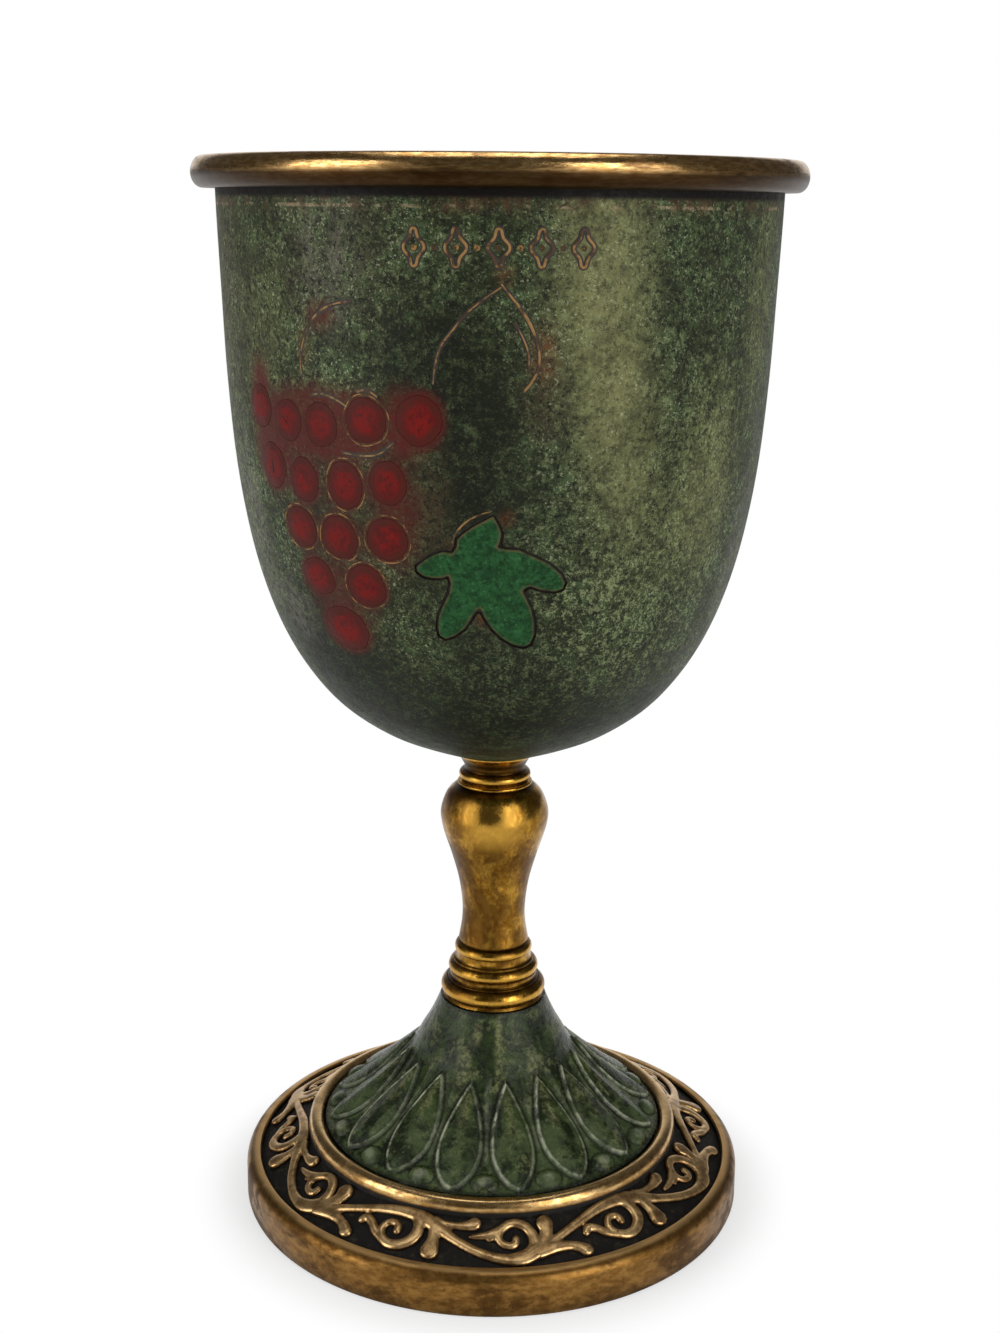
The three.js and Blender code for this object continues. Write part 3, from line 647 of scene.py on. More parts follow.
# worn places on the flare, and painted reflections on its front: degrees round it, millimetres down it, half
# width and half height
flare_wear_and_reflection = [(6, 4.5, 4, 5), (4, 10.0, 2.2, 2.4), (-22, 8, 6, 4), (-14, 3, 5, 2), (31, 9, 5, 4),
              (95, 5, 14, 4), (-120, 6, 12, 5), (170, 4, 16, 4)]


def flare_at(down):
    """Radius, height and slope of the flare, at a length down it from the collar."""
    left = down
    for (r1, z1), (r2, z2) in zip(flare_line[::-1], flare_line[-2::-1]):
        step = hypot(r2 - r1, z2 - z1)
        if left <= step:
            share = left / step
            return r1 + (r2 - r1) * share, z1 + (z2 - z1) * share, atan2(z1 - z2, r1 - r2)
        left -= step
    return *flare_line[0], atan2(z1 - z2, r1 - r2)


def leaf_half(share):
    """Half width of a leaf in degrees, from its point to its round foot."""
    return leaf_spread * sin(pi * share ** 1.12) ** 0.62


def leaf_relief(angle, down, radius):
    """Height of the carving, and how much of it takes painted shade in the hollows, a painted highlight on
    the crests, and the rubbed bare places and painted reflections.
    """
    pitch = 360 / leaf_count
    number = round((angle - leaf_phase) / pitch)
    offset, girth, shift = leaf_habit[number % leaf_count]
    aside = (angle - leaf_phase) - number * pitch
    along = (down - leaf_top - shift) / leaf_length
    per_degree = radians(1) * radius
    height, hollow_shade, crest_highlight, bare_and_sheen = 0.0, 0.0, 0.0, 0.0
    if -0.02 < along < 1.02:
        share = min(max(along, 0.0), 1.0)
        half = girth * leaf_half(share)
        slant = (girth * leaf_half(min(share + 0.02, 1.0)) - half) / 0.02 / leaf_length * per_degree
        inside = (half - abs(aside - offset * 0.4)) * per_degree / hypot(1, slant)
        rib = exp(-((inside - 0.22) / 0.19) ** 2)
        full = sqrt(min(max(inside - 0.45, 0.0) / 2.6, 1.0))
        height = 0.30 * smooth_step(-0.25, 0.22, inside) + 0.20 * rib + 0.75 * full
        # painted shade just outside each leaf and in a groove inside its rim
        hollow_shade = max(0.9 * smooth_step(-0.7, -0.22, inside) * (1 - smooth_step(-0.22, 0.0, inside)),
                     0.5 * smooth_step(0.40, 0.52, inside) * (1 - smooth_step(0.52, 0.85, inside)))
        # painted highlight on the rib, stronger on the left side of each leaf
        crest_highlight = rib * (1.0 if aside < 0 else 0.35)
        bare_and_sheen = 0.8 * exp(-((aside - 0.8 * offset) / 2.3) ** 2) * smooth_step(0.02, 0.16, share)
        bare_and_sheen *= smooth_step(0.62, 0.25, share) * girth ** 4
    between = abs(abs(aside) - pitch / 2) * per_degree
    back = smooth_step(8.6, 11.5, down) * (1 - smooth_step(22.0, 23.8, down))
    back *= exp(-(between / 0.35) ** 2)
    height = max(height, 0.22 * back)
    # a faint painted highlight on the ridge between leaves
    crest_highlight = max(crest_highlight, 0.12 * back)
    bud = 1 - (between / bud_width) ** 2 - ((down - bud_down) / bud_length) ** 2
    if bud > 0:
        height = max(height, bud_height * sqrt(bud))
        # painted highlight on the bud
        crest_highlight = max(crest_highlight, smooth_step(0.5, 0.95, bud) * 0.3)
        hollow_shade *= 0.3
    elif bud > -0.5:
        # painted shade round each bud
        hollow_shade = max(hollow_shade, smooth_step(-0.5, -0.1, bud) * 0.8)
    for at, depth, wide, tall in flare_wear_and_reflection:
        far = hypot((angle - at) / wide, (down - depth) / tall)
        bare_and_sheen = max(bare_and_sheen, smooth_step(1.3, 0.3, far) * (1 - hollow_shade))
    # painted shade along the lower edge of the flare, where it meets the ring
    edge = smooth_step(27.4, 28.1, down)
    uneven = 0.05 * noise.noise(Vector((angle * 0.12, down * 0.22, 3.0)))
    return height * (1 - edge) + uneven, (max(hollow_shade, edge * 0.9), min(crest_highlight, 1.0) * (1 - edge), bare_and_sheen)


def leafy_foot():
    """A grid is rolled up: its columns run round the foot, its rows go up inside it and down the flare."""
    rows = [(rod_bore, collar_level - 1.8), (6.3, collar_level - 1.9), (7.4, 28.6), (9.2, 25.0), (11.4, 21.8),
            (14.6, 18.2), (18.6, 14.8), (22.0, 12.0), (24.6, ledge_level + 0.1), (24.8, ledge_level),
            (26.4, ledge_level), (26.7, ledge_level + 0.2), (26.75, ledge_level + 0.8)]
    carved_from, step, columns = 9.6, 0.2, 720
    downs = [carved_from * i / 11 for i in range(11)]
    downs += [carved_from + step * i for i in range(int((flare_length - 0.05 - carved_from) / step))]
    first_carved = len(rows)
    downs = [flare_length] + downs[::-1]
    rows += [flare_at(down)[:2] for down in downs] + [(6.0, collar_level), (rod_bore, collar_level)]
    bpy.ops.mesh.primitive_grid_add(x_subdivisions=columns, y_subdivisions=len(rows), size=1)
    foot = bpy.context.object
    foot.name = foot.data.name = "leafy_foot"
    layer = foot.data.color_attributes.new(name="relief", type="FLOAT_COLOR", domain="POINT")
    for vertex, mask in zip(foot.data.vertices, layer.data):
        row = round((vertex.co.y + 0.5) * len(rows)) % len(rows)
        angle = (vertex.co.x + 0.5) * 360 - 180
        radius, level = rows[row]
        place = row - first_carved
        # rows that are not carved take painted shade
        mask.color = (0.9, 0, 0, 1)
        if 0 < place < len(downs) - 1:
            height, tones = leaf_relief(angle, downs[place], radius)
            slope = flare_at(downs[place])[2]
            radius += height * sin(slope)
            level -= height * cos(slope)
            mask.color = (*tones, 1)
        vertex.co = around(radius, radians(angle), level) * MM
    select_only(foot)
    open_up()
    close_up()
    return foot


foot = leafy_foot()
hold(foot, [foot_green], ["leaf_foot"], crease=60)


# Stem collar, baluster and neck
collar_outline = raised(
    collar_level,
    [(rod_bore, 0), (7.7, 0), (7.88, 0.1)]
    + bead(6.7, 1.6, 1.5, -50, 68, 14)
    + bead(6.8, 3.0, 0.35, -35, 70, 5)
    + flow([(6.88, 3.42), (6.76, 3.6), (6.74, 3.85)], 3)
    + bead(5.9, 4.95, 1.15, -40, 58, 12)
    + bead(5.98, 6.05, 0.38, -20, 62, 5)
    + flow([(6.05, 6.5), (5.96, 6.7), (5.92, 6.95)], 3)
    + bead(5.05, 8.1, 1.0, -32, 74, 12)
) + raised(baluster_level, [(5.25, -0.35), (5.3, 0), (rod_bore, 0)])
turned_piece("collar", collar_outline, 144, gilt, "stem_collar", recess_shade_and_highlight(collar_outline, 0.7))

baluster_outline = [(rod_bore, baluster_level)] + flow(
    [(5.45, baluster_level), (4.96, 45.0), (4.94, 48.0), (5.51, 52.0), (6.6, 56.0), (7.59, 59.0),
     (8.14, 61.0), (8.33, 62.9), (7.79, 65.0), (6.92, 66.5), (5.62, 67.45)], 7)
baluster_outline += bead(5.42, neck_level - 0.38, 0.33, -50, 80, 6) + [(rod_bore, neck_level)]


def baluster_shade_and_highlight(place):
    """Painted shade in the groove under the top ring, on the waist, most on its left, and on the knop's
    sides, with a painted highlight on the knop's front and along the top lip.
    """
    side = degrees(atan2(place.x, -place.y))
    groove = smooth_step(66.7, 67.4, place.z) * smooth_step(67.75, 67.5, place.z) * 0.9
    waist = 0.16 + 0.22 * smooth_step(30, -60, side) + 0.16 * smooth_step(30, 80, side)
    waist *= smooth_step(60.5, 56.0, place.z)
    knop = smooth_step(5.5, 1.0, abs(place.z - 62.5))
    # painted highlight on the knop's front, and painted shade on its sides
    front = knop * smooth_step(46, 8, abs(side + 2))
    turned_away = 0.30 * knop * smooth_step(26, 64, abs(side))
    return max(groove, waist, turned_away), max(smooth_step(67.7, 67.85, place.z) * 0.8, front), 0


turned_piece("baluster", baluster_outline, 144, gilt, "stem_baluster", baluster_shade_and_highlight)

neck_outline = raised(
    neck_level,
    [(boss_bore, 0), (5.1, 0), (5.15, 0.15)]
    + bead(4.75, 0.9, 0.75, -50, 62, 10)
    + flow([(4.72, 1.8), (4.65, 2.05), (4.74, 2.5), (4.95, 2.9), (5.4, 3.7), (5.8, 4.15)], 3)
    + bead(5.7, 4.42, 0.2, -40, 80, 5)
) + [(5.72, bowl_level), (boss_bore, bowl_level)]
turned_piece("neck", neck_outline, 144, gilt, "stem_neck", recess_shade_and_highlight(neck_outline, 1.3))


# Bowl
wall, lowest_lip = 1.4, 156.0
bowl_line = flow(
    [(6.7, bowl_level), (13.54, 75.5), (18.64, 78.0), (24.0, 82.0), (28.23, 87.0), (31.71, 93.0),
     (34.42, 100.0), (36.47, 108.0), (38.07, 118.0), (39.08, 130.0), (39.61, 142.0), (40.0, 152.0),
     (40.2, lip_level)], 16)
wall_rows = [(40.12, lowest_lip)] + [(r, z) for r, z in reversed(bowl_line) if z < lowest_lip]
wall_drops = [-z for r, z in wall_rows]
wall_downs = [0.0]
for upper, lower in zip(wall_rows, wall_rows[1:]):
    wall_downs.append(wall_downs[-1] + dist(upper, lower))


def wall_point(down):
    """Radius, height and outward lean of the bowl's wall, at a length down the wall from near its lip."""
    row = min(max(bisect.bisect_left(wall_downs, down), 1), len(wall_rows) - 1)
    (r1, z1), (r2, z2) = wall_rows[row - 1], wall_rows[row]
    share = min((down - wall_downs[row - 1]) / (wall_downs[row] - wall_downs[row - 1]), 1.0)
    return r1 + (r2 - r1) * share, z1 + (z2 - z1) * share, atan2(r1 - r2, z1 - z2)


def place_on_wall(place):
    """Degrees round the bowl and millimetres down its wall, for a point on it."""
    row = min(max(bisect.bisect_left(wall_drops, -place.z), 1), len(wall_rows) - 1)
    share = (wall_rows[row - 1][1] - place.z) / (wall_rows[row - 1][1] - wall_rows[row][1])
    down = wall_downs[row - 1] + min(max(share, -1.0), 1.0) * (wall_downs[row] - wall_downs[row - 1])
    return degrees(atan2(place.x, -place.y)), down


def lay_on_bowl(piece, angle, down):
    """Bends a flat piece round the wall. Its X runs round the bowl, its Y up the wall and its Z outwards."""
    for vertex in piece.data.vertices:
        x, y, z = vertex.co / MM
        radius, level, lean = wall_point(down - y)
        turn = radians(angle) + x / max(radius, 5)
        vertex.co = around(radius + z * cos(lean), turn, level - z * sin(lean)) * MM


inner_line = []
for i, (r, z) in enumerate(bowl_line):
    (r1, z1), (r2, z2) = bowl_line[max(i - 1, 0)], bowl_line[min(i + 1, len(bowl_line) - 1)]
    lean = atan2(z2 - z1, r2 - r1)
    inner_line.append((r - wall * sin(lean), z + wall * cos(lean)))
inner_line = [(r, min(z, lip_level)) for r, z in inner_line if r > 1]
bowl_outline = [(0.02, bowl_level)] + bowl_line + inner_line[::-4] + [(0.02, bowl_level + wall)]
bowl = turned("bowl_shell", bowl_outline, 320)

# grapes: degrees round the bowl from the front, millimetres down the wall, and width and height
grapes = [
    (-54.6, 28.6, 5.4, 5.6), (-45.5, 29.9, 5.6, 5.4), (-36.2, 30.0, 5.6, 5.6), (-25.7, 29.0, 5.8, 5.8),
    (-14.7, 28.7, 5.9, 6.6),
    (-51.7, 36.4, 5.6, 6.2), (-42.1, 37.7, 5.4, 5.8), (-31.2, 37.7, 5.4, 6.2), (-21.6, 37.0, 5.2, 5.6),
    (-44.8, 44.4, 5.9, 5.6), (-34.1, 45.0, 5.9, 5.8), (-22.5, 44.6, 5.8, 5.8),
    (-42.0, 51.2, 5.9, 5.4), (-28.8, 51.6, 5.9, 5.8), (-36.8, 58.6, 7.2, 6.8),
]
leaf_place = (-1.1, 50.1)
leaf_shape = [
    (0.3, 9.3), (1.0, 8.0), (1.35, 6.9), (1.1, 5.7), (0.85, 5.1), (2.0, 4.85), (3.6, 4.75), (5.6, 3.8),
    (7.7, 2.7), (9.2, 1.2), (9.75, 0.0), (9.5, -0.8), (8.4, -1.15), (6.6, -0.85), (5.1, -0.3), (4.1, -0.9),
    (4.6, -2.0), (5.3, -3.7), (5.7, -5.6), (5.7, -7.6), (5.2, -9.0), (4.4, -9.4), (3.1, -9.1), (1.6, -8.1),
    (0.3, -6.7), (-0.7, -5.0), (-1.1, -4.1), (-1.45, -3.5), (-2.1, -4.2), (-2.7, -5.3), (-3.5, -6.7),
    (-4.9, -7.9), (-6.0, -8.4), (-6.8, -7.9), (-7.0, -6.6), (-6.8, -4.8), (-6.1, -3.0), (-5.4, -1.4),
    (-5.2, 0.0), (-5.5, 1.0), (-6.4, 0.65), (-7.7, 0.6), (-8.9, 0.8), (-9.7, 1.4), (-9.8, 2.0), (-8.7, 3.0),
    (-7.4, 3.9), (-6.2, 4.3), (-4.95, 4.15), (-4.4, 5.1), (-4.3, 6.1), (-3.4, 7.0), (-2.2, 7.9), (-0.8, 8.7),
]
leaf_border = flow(leaf_shape + leaf_shape[:1], 4)
cell_floor, enamel_floor, grape_gap, leaf_line = -0.42, -0.36, 0.05, 0.38


def grown(points, by):
    """An outline moved outwards by a distance."""
    count = len(points)
    moved = []
    for i, (x, y) in enumerate(points):
        (x1, y1), (x2, y2) = points[i - 1], points[(i + 1) % count]
        length = hypot(x2 - x1, y2 - y1) or 1
        moved.append((x - (y2 - y1) / length * by, y + (x2 - x1) / length * by))
    return moved


def round_outline(wide, tall, number, count=40):
    """A grape's outline: an oval with the small unevenness of hand work."""
    points = []
    for i in range(count):
        a = -2 * pi * i / count
        uneven = 1 + 0.09 * noise.noise(Vector((cos(a) * 1.3, sin(a) * 1.3, number * 3.1)))
        points.append((wide / 2 * cos(a) * uneven, tall / 2 * sin(a) * uneven))
    return points


def slab(name, outline, low, high, soft=0.0):
    """A flat slab in the given outline, from low to high, with a softened upper edge."""
    bpy.ops.mesh.primitive_circle_add(vertices=len(outline), radius=MM, fill_type="NGON", location=(0, 0, 0))
    piece = bpy.context.object
    piece.name = piece.data.name = name
    for vertex, (x, y) in zip(piece.data.vertices, outline):
        vertex.co = (x * MM, y * MM, low * MM)
    open_up()
    bpy.ops.mesh.extrude_region_move(TRANSFORM_OT_translate={"value": (0, 0, (high - low) * MM)})
    if soft:
        bpy.ops.mesh.bevel(offset=soft * MM, segments=3, affect="EDGES")
    close_up(seam=None)
    return piece


# cells for the enamels, cut into the wall: the grapes fill theirs, and the leaf has a dark line round it
bowl.data.materials.append(patina)
cutters = []
for number, (angle, down, wide, tall) in enumerate(grapes):
    cutter = slab("cutter", grown(round_outline(wide, tall, number), grape_gap), cell_floor, 0.6)
    lay_on_bowl(cutter, angle, down)
    cutter.data.materials.append(grape_cell)
    cutters.append(cutter)
leaf_cutter = slab("cutter", grown(leaf_shape, leaf_line), cell_floor, 0.6)
apply_modifier(leaf_cutter, "REMESH", mode="VOXEL", voxel_size=0.2 * MM)
lay_on_bowl(leaf_cutter, *leaf_place)
leaf_cutter.data.materials.clear()
leaf_cutter.data.materials.append(leaf_cell)
cutter = joined("cell_cutter", cutters + [leaf_cutter])


# brushed patches: degrees round the bowl, millimetres down its wall, half width, half height and strength
# sage patina; the band on the right front is also a painted highlight
sage_and_highlight_patches = [
    (19, 11, 10, 18, 1.0), (24, 30, 9, 12, 0.7), (32, 44, 12, 10, 0.35), (48, 38, 9, 14, 0.6),
    (-53, 17, 9, 9, 0.35), (63, 16, 6, 14, 0.4), (120, 20, 20, 16, 0.6), (-140, 50, 25, 14, 0.5),
    (165, 30, 18, 20, 0.5),
]
# near black patina; at the front centre and low on the bowl it is also painted shade
dark_and_shade_patches = [
    (-6, 33, 15, 22, 1.0), (-16, 21, 9, 9, 0.5), (0, 76, 80, 13, 1.0), (46, 12, 8, 14, 0.35),
    (-45, 62, 20, 11, 0.8), (-34, 42, 16, 14, 0.6), (95, 45, 20, 20, 0.7), (-110, 25, 22, 18, 0.8),
    (180, 60, 30, 12, 0.7), (2, 60, 16, 8, 0.7),
]
warm_patches = [
    (-34, 8, 14, 9, 0.5), (-70, 12, 11, 18, 0.8), (-13, 38, 4, 11, 0.6), (-34, 42, 14, 14, 0.5),
    (140, 6, 30, 7, 0.6), (-160, 12, 20, 9, 0.6), (-100, 55, 20, 10, 0.4), (9, 24, 5, 8, 0.5),
]
# painted reflections of the soft lights, pale grey
reflection_patches = [
    (-33, 9, 7, 9, 0.5), (-65, 44, 6, 11, 0.8), (-56, 58, 9, 6, 0.6), (68, 50, 6, 14, 0.4),
    (110, 60, 14, 8, 0.5), (-130, 10, 12, 8, 0.4),
]
wine_washes = [
    (-37, 30.0, 18, 4.7, 1.7), (-51, 33.5, 7, 6.0, 1.5), (-20, 41.5, 5, 7, 0.8), (-36, 54, 9, 6.5, 0.7),
    (-18, 29.5, 5, 4.6, 1.2), (-33, 38, 15, 4, 0.35), (-34, 45, 14, 4, 0.35), (-54, 26.0, 4, 4, 1.1),
    (-35.0, 16.0, 3.4, 2.0, 0.8),
]
rust_washes = [
    (8.3, 20.0, 2.4, 3.6, 0.9), (1.0, 10.8, 2.0, 1.4, 0.7), (-39.5, 20.0, 2.0, 3.0, 0.5),
    (-9.0, 46.0, 2.0, 2.0, 0.5), (-3.0, 55.0, 1.6, 1.6, 0.8), (2.0, 41.0, 1.6, 1.2, 0.8),
]
fleck_patches = [
    (26, 56, 28, 15, 1.0), (4, 66, 16, 6, 0.8), (46, 34, 12, 14, 0.6), (-46, 20, 9, 8, 0.5),
    (-75, 40, 14, 22, 0.8), (130, 50, 40, 16, 0.9), (-150, 30, 30, 16, 0.7),
]


def brushed(patches, angle, down, gather=sum):
    """How strongly some soft patches cover a point of the wall."""
    cover = [0.0]
    for at, depth, wide, tall, strength in patches:
        aside = (angle - at + 180) % 360 - 180
        far = hypot(aside / wide, (down - depth) / tall)
        cover.append(strength * (1 - smooth_step(0.25, 1.5, far)))
    return min(gather(cover), 1.0)


def tone_at(place):
    """Sage with a painted highlight band, near black with painted shade at the front and low down, and brown.
    """
    spot = place_on_wall(place)
    return [brushed(patches, *spot) for patches in (sage_and_highlight_patches, dark_and_shade_patches, warm_patches)]


def wash_at(place):
    """Maroon with a halo round each grape, rust, and flecks, on the outer side only."""
    angle, down = place_on_wall(place)
    across = hypot(place.x, place.y)
    if across <= wall_point(down)[0] - wall / 2:
        return (0, 0, 0)
    halo = 0.0
    for at, depth, wide, tall in grapes:
        aside = radians(angle - at) * across
        far = hypot(aside / wide * 2, (down - depth) / tall * 2)
        halo = max(halo, 0.9 * smooth_step(1.40, 1.0, far))
    wine = max(brushed(wine_washes, angle, down, max), halo)
    return wine, brushed(rust_washes, angle, down, max), brushed(fleck_patches, angle, down)


apply_modifier(bowl, "BOOLEAN", operation="DIFFERENCE", object=cutter, solver="EXACT",
               material_mode="TRANSFER")
bpy.data.objects.remove(cutter)
tint_points(bowl, "tone", tone_at)
tint_points(bowl, "washes", wash_at)
# painted reflections on the wall
tint_points(bowl, "sheen", lambda p: (brushed(reflection_patches, *place_on_wall(p)), 0, 0))
hold(bowl, None, ["bowl"], crease=40)


# Enamel grapes: low domes that are flush at their edge
for number, (angle, down, wide, tall) in enumerate(grapes):
    outline = round_outline(wide, tall, number)
    grape = slab("grape_%02d" % (number + 1), outline, enamel_floor, 0.02)
    bpy.ops.object.mode_set(mode="EDIT")
    bpy.ops.mesh.select_all(action="DESELECT")
    bpy.ops.object.mode_set(mode="OBJECT")
    max(grape.data.polygons, key=lambda face: face.center.z).select = True
    bpy.ops.object.mode_set(mode="EDIT")
    bpy.ops.mesh.select_mode(type="FACE")
    for thickness, depth in ((0.3, 0.02), (0.35, 0.03), (0.4, 0.03), (0.5, 0.02), (0.5, 0.01)):
        bpy.ops.mesh.inset(thickness=thickness * MM, depth=depth * MM)
    bpy.ops.mesh.select_mode(type="VERT")
    bpy.ops.object.mode_set(mode="OBJECT")
    tint_points(grape, "edge", lambda p: (
        smooth_step(0.40, 0.95, hypot(p.x / wide * 2, p.y / tall * 2)), 0, 0))
    lay_on_bowl(grape, angle, down)
    hold(grape, [red_enamel], ["grape_enamel_%02d" % (number + 1)], crease=50)

# Enamel leaf
leaf = slab("vine_leaf", leaf_shape, enamel_floor, 0.12, soft=0.12)
apply_modifier(leaf, "REMESH", mode="VOXEL", voxel_size=0.13 * MM)
apply_modifier(leaf, "SMOOTH", factor=0.5, iterations=3)


def leaf_edge(place):
    near = min(hypot(place.x - x, place.y - y) for x, y in leaf_border)
    return (smooth_step(0.42, 0.12, near), 0, 0)


tint_points(leaf, "edge", leaf_edge)
lay_on_bowl(leaf, *leaf_place)
hold(leaf, [green_enamel], ["leaf_enamel"], crease=50)


# Scribed lines on the bowl: tendrils, arcs round the grapes, an arc over the leaf and a row of lozenges
def scribed(points, width, closed=False):
    """A fine line laid flat, uneven and thinner at its ends unless it is closed."""
    knots = []
    for i, (x, y) in enumerate(points):
        tapered = 0.6 + 0.4 * sin(pi * (i + 0.5) / len(points))
        knots.append((x, y, 1 if closed else chance.uniform(0.8, 1.2) * tapered))
    return drawn(knots, width / 2, 5, 1, closed)


def tendril(points, width, finish, flat):
    """A line through points in degrees round the bowl and millimetres down its wall."""
    line = scribed([(angle, -down) for angle, down in points], width)
    for vertex in line.data.vertices:
        x, y, z = vertex.co / MM
        radius, level, lean = wall_point(-y)
        out = radius + (z * flat + 0.005) * cos(lean)
        vertex.co = around(out, radians(x), level - z * flat * sin(lean)) * MM
    line.data.materials.append(finish)
    return line


def ornament(points, place, width, closed=True, finish=line_gilt, flat=0.6):
    """A line through points in millimetres from a place on the wall."""
    line = scribed(points, width, closed)
    for vertex in line.data.vertices:
        vertex.co.z *= flat
    lay_on_bowl(line, *place)
    line.data.materials.append(finish)
    return line


tendrils = [
    ([(-27.7, 14.1), (-31.5, 14.5), (-35.2, 15.6), (-37.9, 17.4), (-39.7, 19.8), (-40.5, 22.2),
      (-40.3, 24.0)], 0.42),
    ([(0.5, 12.0), (-2.7, 13.5), (-5.9, 15.4), (-8.3, 17.4), (-10.5, 19.5), (-11.4, 21.6),
      (-11.9, 24.0)], 0.34),
    ([(0.5, 11.6), (2.0, 12.9), (4.0, 14.6), (5.9, 16.7), (7.2, 19.1), (7.5, 21.4), (6.4, 23.4),
      (4.6, 24.9)], 0.55),
    ([(2.9, 16.3), (4.6, 18.3), (5.6, 20.4), (5.6, 22.3)], 0.30),
    ([(-38.5, 26.3), (-35.3, 26.0), (-32.0, 26.6), (-29.6, 27.4)], 0.36),
    ([(-27.2, 25.4), (-25.1, 25.1), (-22.9, 25.9)], 0.36),
    ([(-31.0, 33.4), (-27.0, 33.6), (-23.0, 33.2), (-19.8, 31.6)], 0.30),
]
arc = [(-5.0, 5.6), (-4.3, 7.2), (-3.0, 8.6), (-1.4, 9.5), (0.1, 10.0)]
lozenge = [(0, 2.3), (0.55, 1.2), (1.35, 0.0), (0.55, -1.2), (0, -2.3), (-0.55, -1.2), (-1.35, 0.0),
           (-0.55, 1.2)]
dot = [(0.25 * cos(a), 0.25 * sin(a)) for a in (0, 1.57, 3.14, 4.71)]
ringed_grapes, lozenge_pitch, lozenge_down = (3, 7, 9, 10, 11, 13), 7.6, 7.3
lines = []
for points, width in tendrils:
    # a wider dark line under each gilt line, a painted shadow
    lines.append(tendril(points, width + 0.42, line_shade, 0.12))
    lines.append(tendril(points, width, line_gilt, 0.5))
for number in ringed_grapes:
    angle, down, wide, tall = grapes[number]
    lines.append(ornament(grown(round_outline(wide, tall, number, 20), 0.42), (angle, down), 0.17))
lines.append(ornament(arc, leaf_place, 0.3, closed=False))
for i in range(5):
    angle = lozenge_pitch * (i - 2)
    # a wider dark line under each lozenge, a painted shadow
    lines.append(ornament(lozenge, (angle, lozenge_down), 0.80, finish=line_shade, flat=0.12))
    lines.append(ornament(lozenge, (angle, lozenge_down), 0.42))
    lines.append(ornament(dot, (angle, lozenge_down), 0.3))
    if i:
        lines.append(ornament(dot, (angle - lozenge_pitch / 2, lozenge_down), 0.3))
scribing = joined("scribed_lines", lines)
hold(scribing, None, [], crease=60)


# Rim bead: an oval ring over the lip
rim_half, rim_half_height, rim_inner, rim_seat = 1.6, 2.15, 38.8, 40.3
rim_outline = raised(
    rim_top,
    [(rim_seat, -3.0)]
    + bead(rim_radius - rim_half, -rim_half_height, rim_half, -118, 100, 28, tall=rim_half_height)
    + [(40.6, -0.06), (39.4, -0.12), (38.95, -0.25), (rim_inner, -0.5)]
) + raised(lip_level, [(rim_inner, 0.05), (rim_seat, 0.05)])
rim = turned("rim_ring", rim_outline, 288)
for vertex in rim.data.vertices:
    if vertex.co.z < (rim_top - 0.3) * MM:
        worn = 1 - abs(0.045 * noise.noise(vertex.co / MM * 0.35)) / 44
        vertex.co.x *= worn
        vertex.co.y *= worn
# painted shade on the lower part of the bead, with a darker patina
tint_points(rim, "soot", lambda p: (smooth_step(rim_top - 1.4, rim_top - 2.5, p.z), 0, 0))
hold(rim, [rim_gilt], ["rim_bead"], crease=50)


# Hidden fastening: the solids stay as they are
for node, finish in (("tie_rod", steel), ("rod_washer", steel), ("rod_nut", steel), ("bowl_boss", gilt)):
    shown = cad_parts[node]
    shown.data.materials.clear()
    shown.data.materials.append(finish)


# Studio: a white floor and surround, with a darker room in front of the goblet. The floor is white for the
# camera, and shaded near the base.
bpy.ops.mesh.primitive_circle_add(vertices=64, radius=3, fill_type="NGON", location=(0, 0, -0.00002))
floor = bpy.context.object
floor.name = "studio_floor"
white = (1, 1, 1, 1)
white_paper = bpy.data.materials.new("white_paper")
paper = Bench(white_paper)
paper.nodes.clear()
rays = paper.add("LightPath").outputs
spot = paper.add("NewGeometry").outputs["Position"]
away = paper.add("VectorMath", spot, operation="LENGTH").outputs["Value"]
spread = paper.band(away, 0.038, 0.049, 0.60, 1.0)
mirrored = paper.band(paper.add("SeparateXYZ", spot).outputs["Y"], -0.30, -0.03, 0.35, 1.0)
mirrored = paper.work("MULTIPLY", rays["Is Glossy Ray"], mirrored)
shown = paper.work("MAXIMUM", rays["Is Camera Ray"], mirrored)
shown = paper.work("MAXIMUM", shown, rays["Is Transmission Ray"])
share = paper.work("MULTIPLY", shown, spread)
card = paper.add("BsdfDiffuse", (0.86, 0.86, 0.86)).outputs[0]
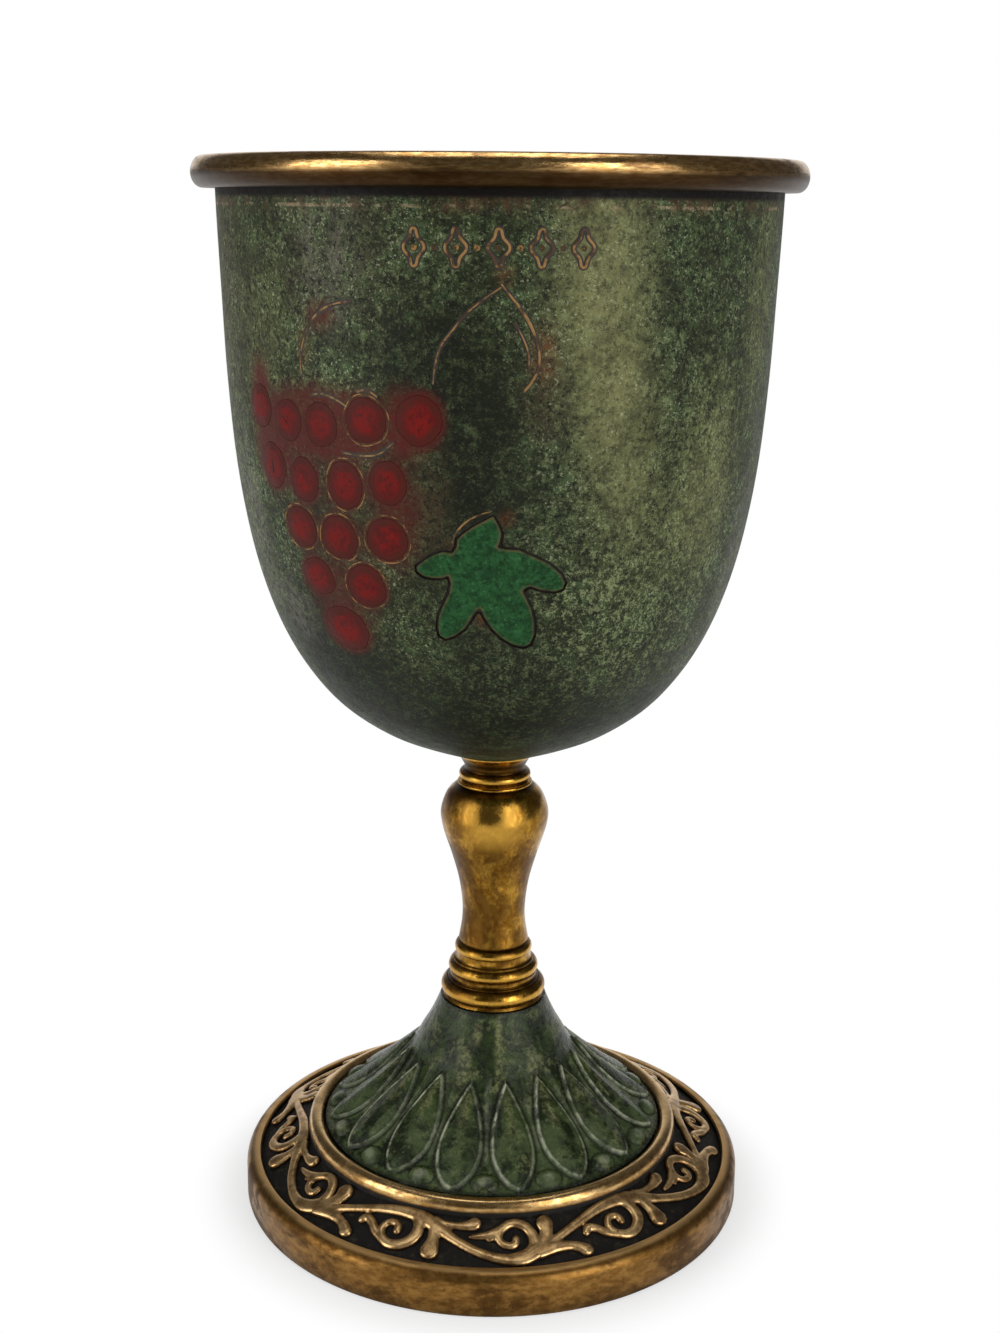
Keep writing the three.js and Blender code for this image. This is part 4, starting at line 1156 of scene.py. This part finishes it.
glow = paper.add("Emission", white, 1.0).outputs[0]
paper.add("OutputMaterial", paper.add("MixShader", share, card, glow).outputs[0])
floor.data.materials.append(white_paper)

bpy.context.scene.world = bpy.data.worlds.new("studio")
room = Bench(bpy.context.scene.world)
room.nodes.clear()
rays = room.add("LightPath").outputs
toward = room.add("SeparateXYZ", room.add("TexCoord").outputs["Generated"]).outputs["Y"]
depth = room.band(toward, 0.76, 0.99, 0.08, 1.0)
mirrored = room.work("MAXIMUM", rays["Is Glossy Ray"], rays["Is Transmission Ray"])
soft, darker, behind = (room.add("Background", white, light).outputs[0] for light in (0.22, depth, 1.0))
lit = room.add("MixShader", mirrored, soft, darker).outputs[0]
room.add("OutputWorld", room.add("MixShader", rays["Is Camera Ray"], lit, behind).outputs[0])


def soft_box(name, azimuth, distance, level, tilt, size, power):
    """A soft lamp at an angle from the front, in metres. It faces down, or the goblet when it is tilted."""
    turn = radians(azimuth)
    bpy.ops.object.light_add(type="AREA", location=around(distance, turn, level))
    lamp = bpy.context.object
    lamp.name = name
    lamp.data.shape = "RECTANGLE"
    lamp.data.size, lamp.data.size_y = size
    lamp.data.energy = power
    lamp.rotation_euler = (radians(tilt), 0, turn)


soft_box("box_right", 42, 0.60, 0.27, 90, (0.34, 0.56), 2.6)
soft_box("box_left", -62, 0.60, 0.27, 90, (0.34, 0.56), 2.2)
soft_box("box_top", 0, -0.05, 0.80, 0, (0.50, 0.50), 2.2)


# Camera, at the photograph's angle
pitch, roll = radians(14.44), radians(0.55)
bpy.ops.object.camera_add(location=(0.00063, -0.2647, 0.154))
camera = bpy.context.object
camera.name = "camera"
camera.rotation_mode = "QUATERNION"
camera.rotation_quaternion = (Euler((radians(90) - pitch, 0, 0)).to_quaternion()
                              @ Euler((0, 0, roll)).to_quaternion())
camera.data.lens = 48.6
camera.data.sensor_width = 36
camera.data.clip_start = 0.01
camera.data.clip_end = 20
bpy.context.scene.camera = camera
bpy.context.scene.view_settings.view_transform = "Standard"
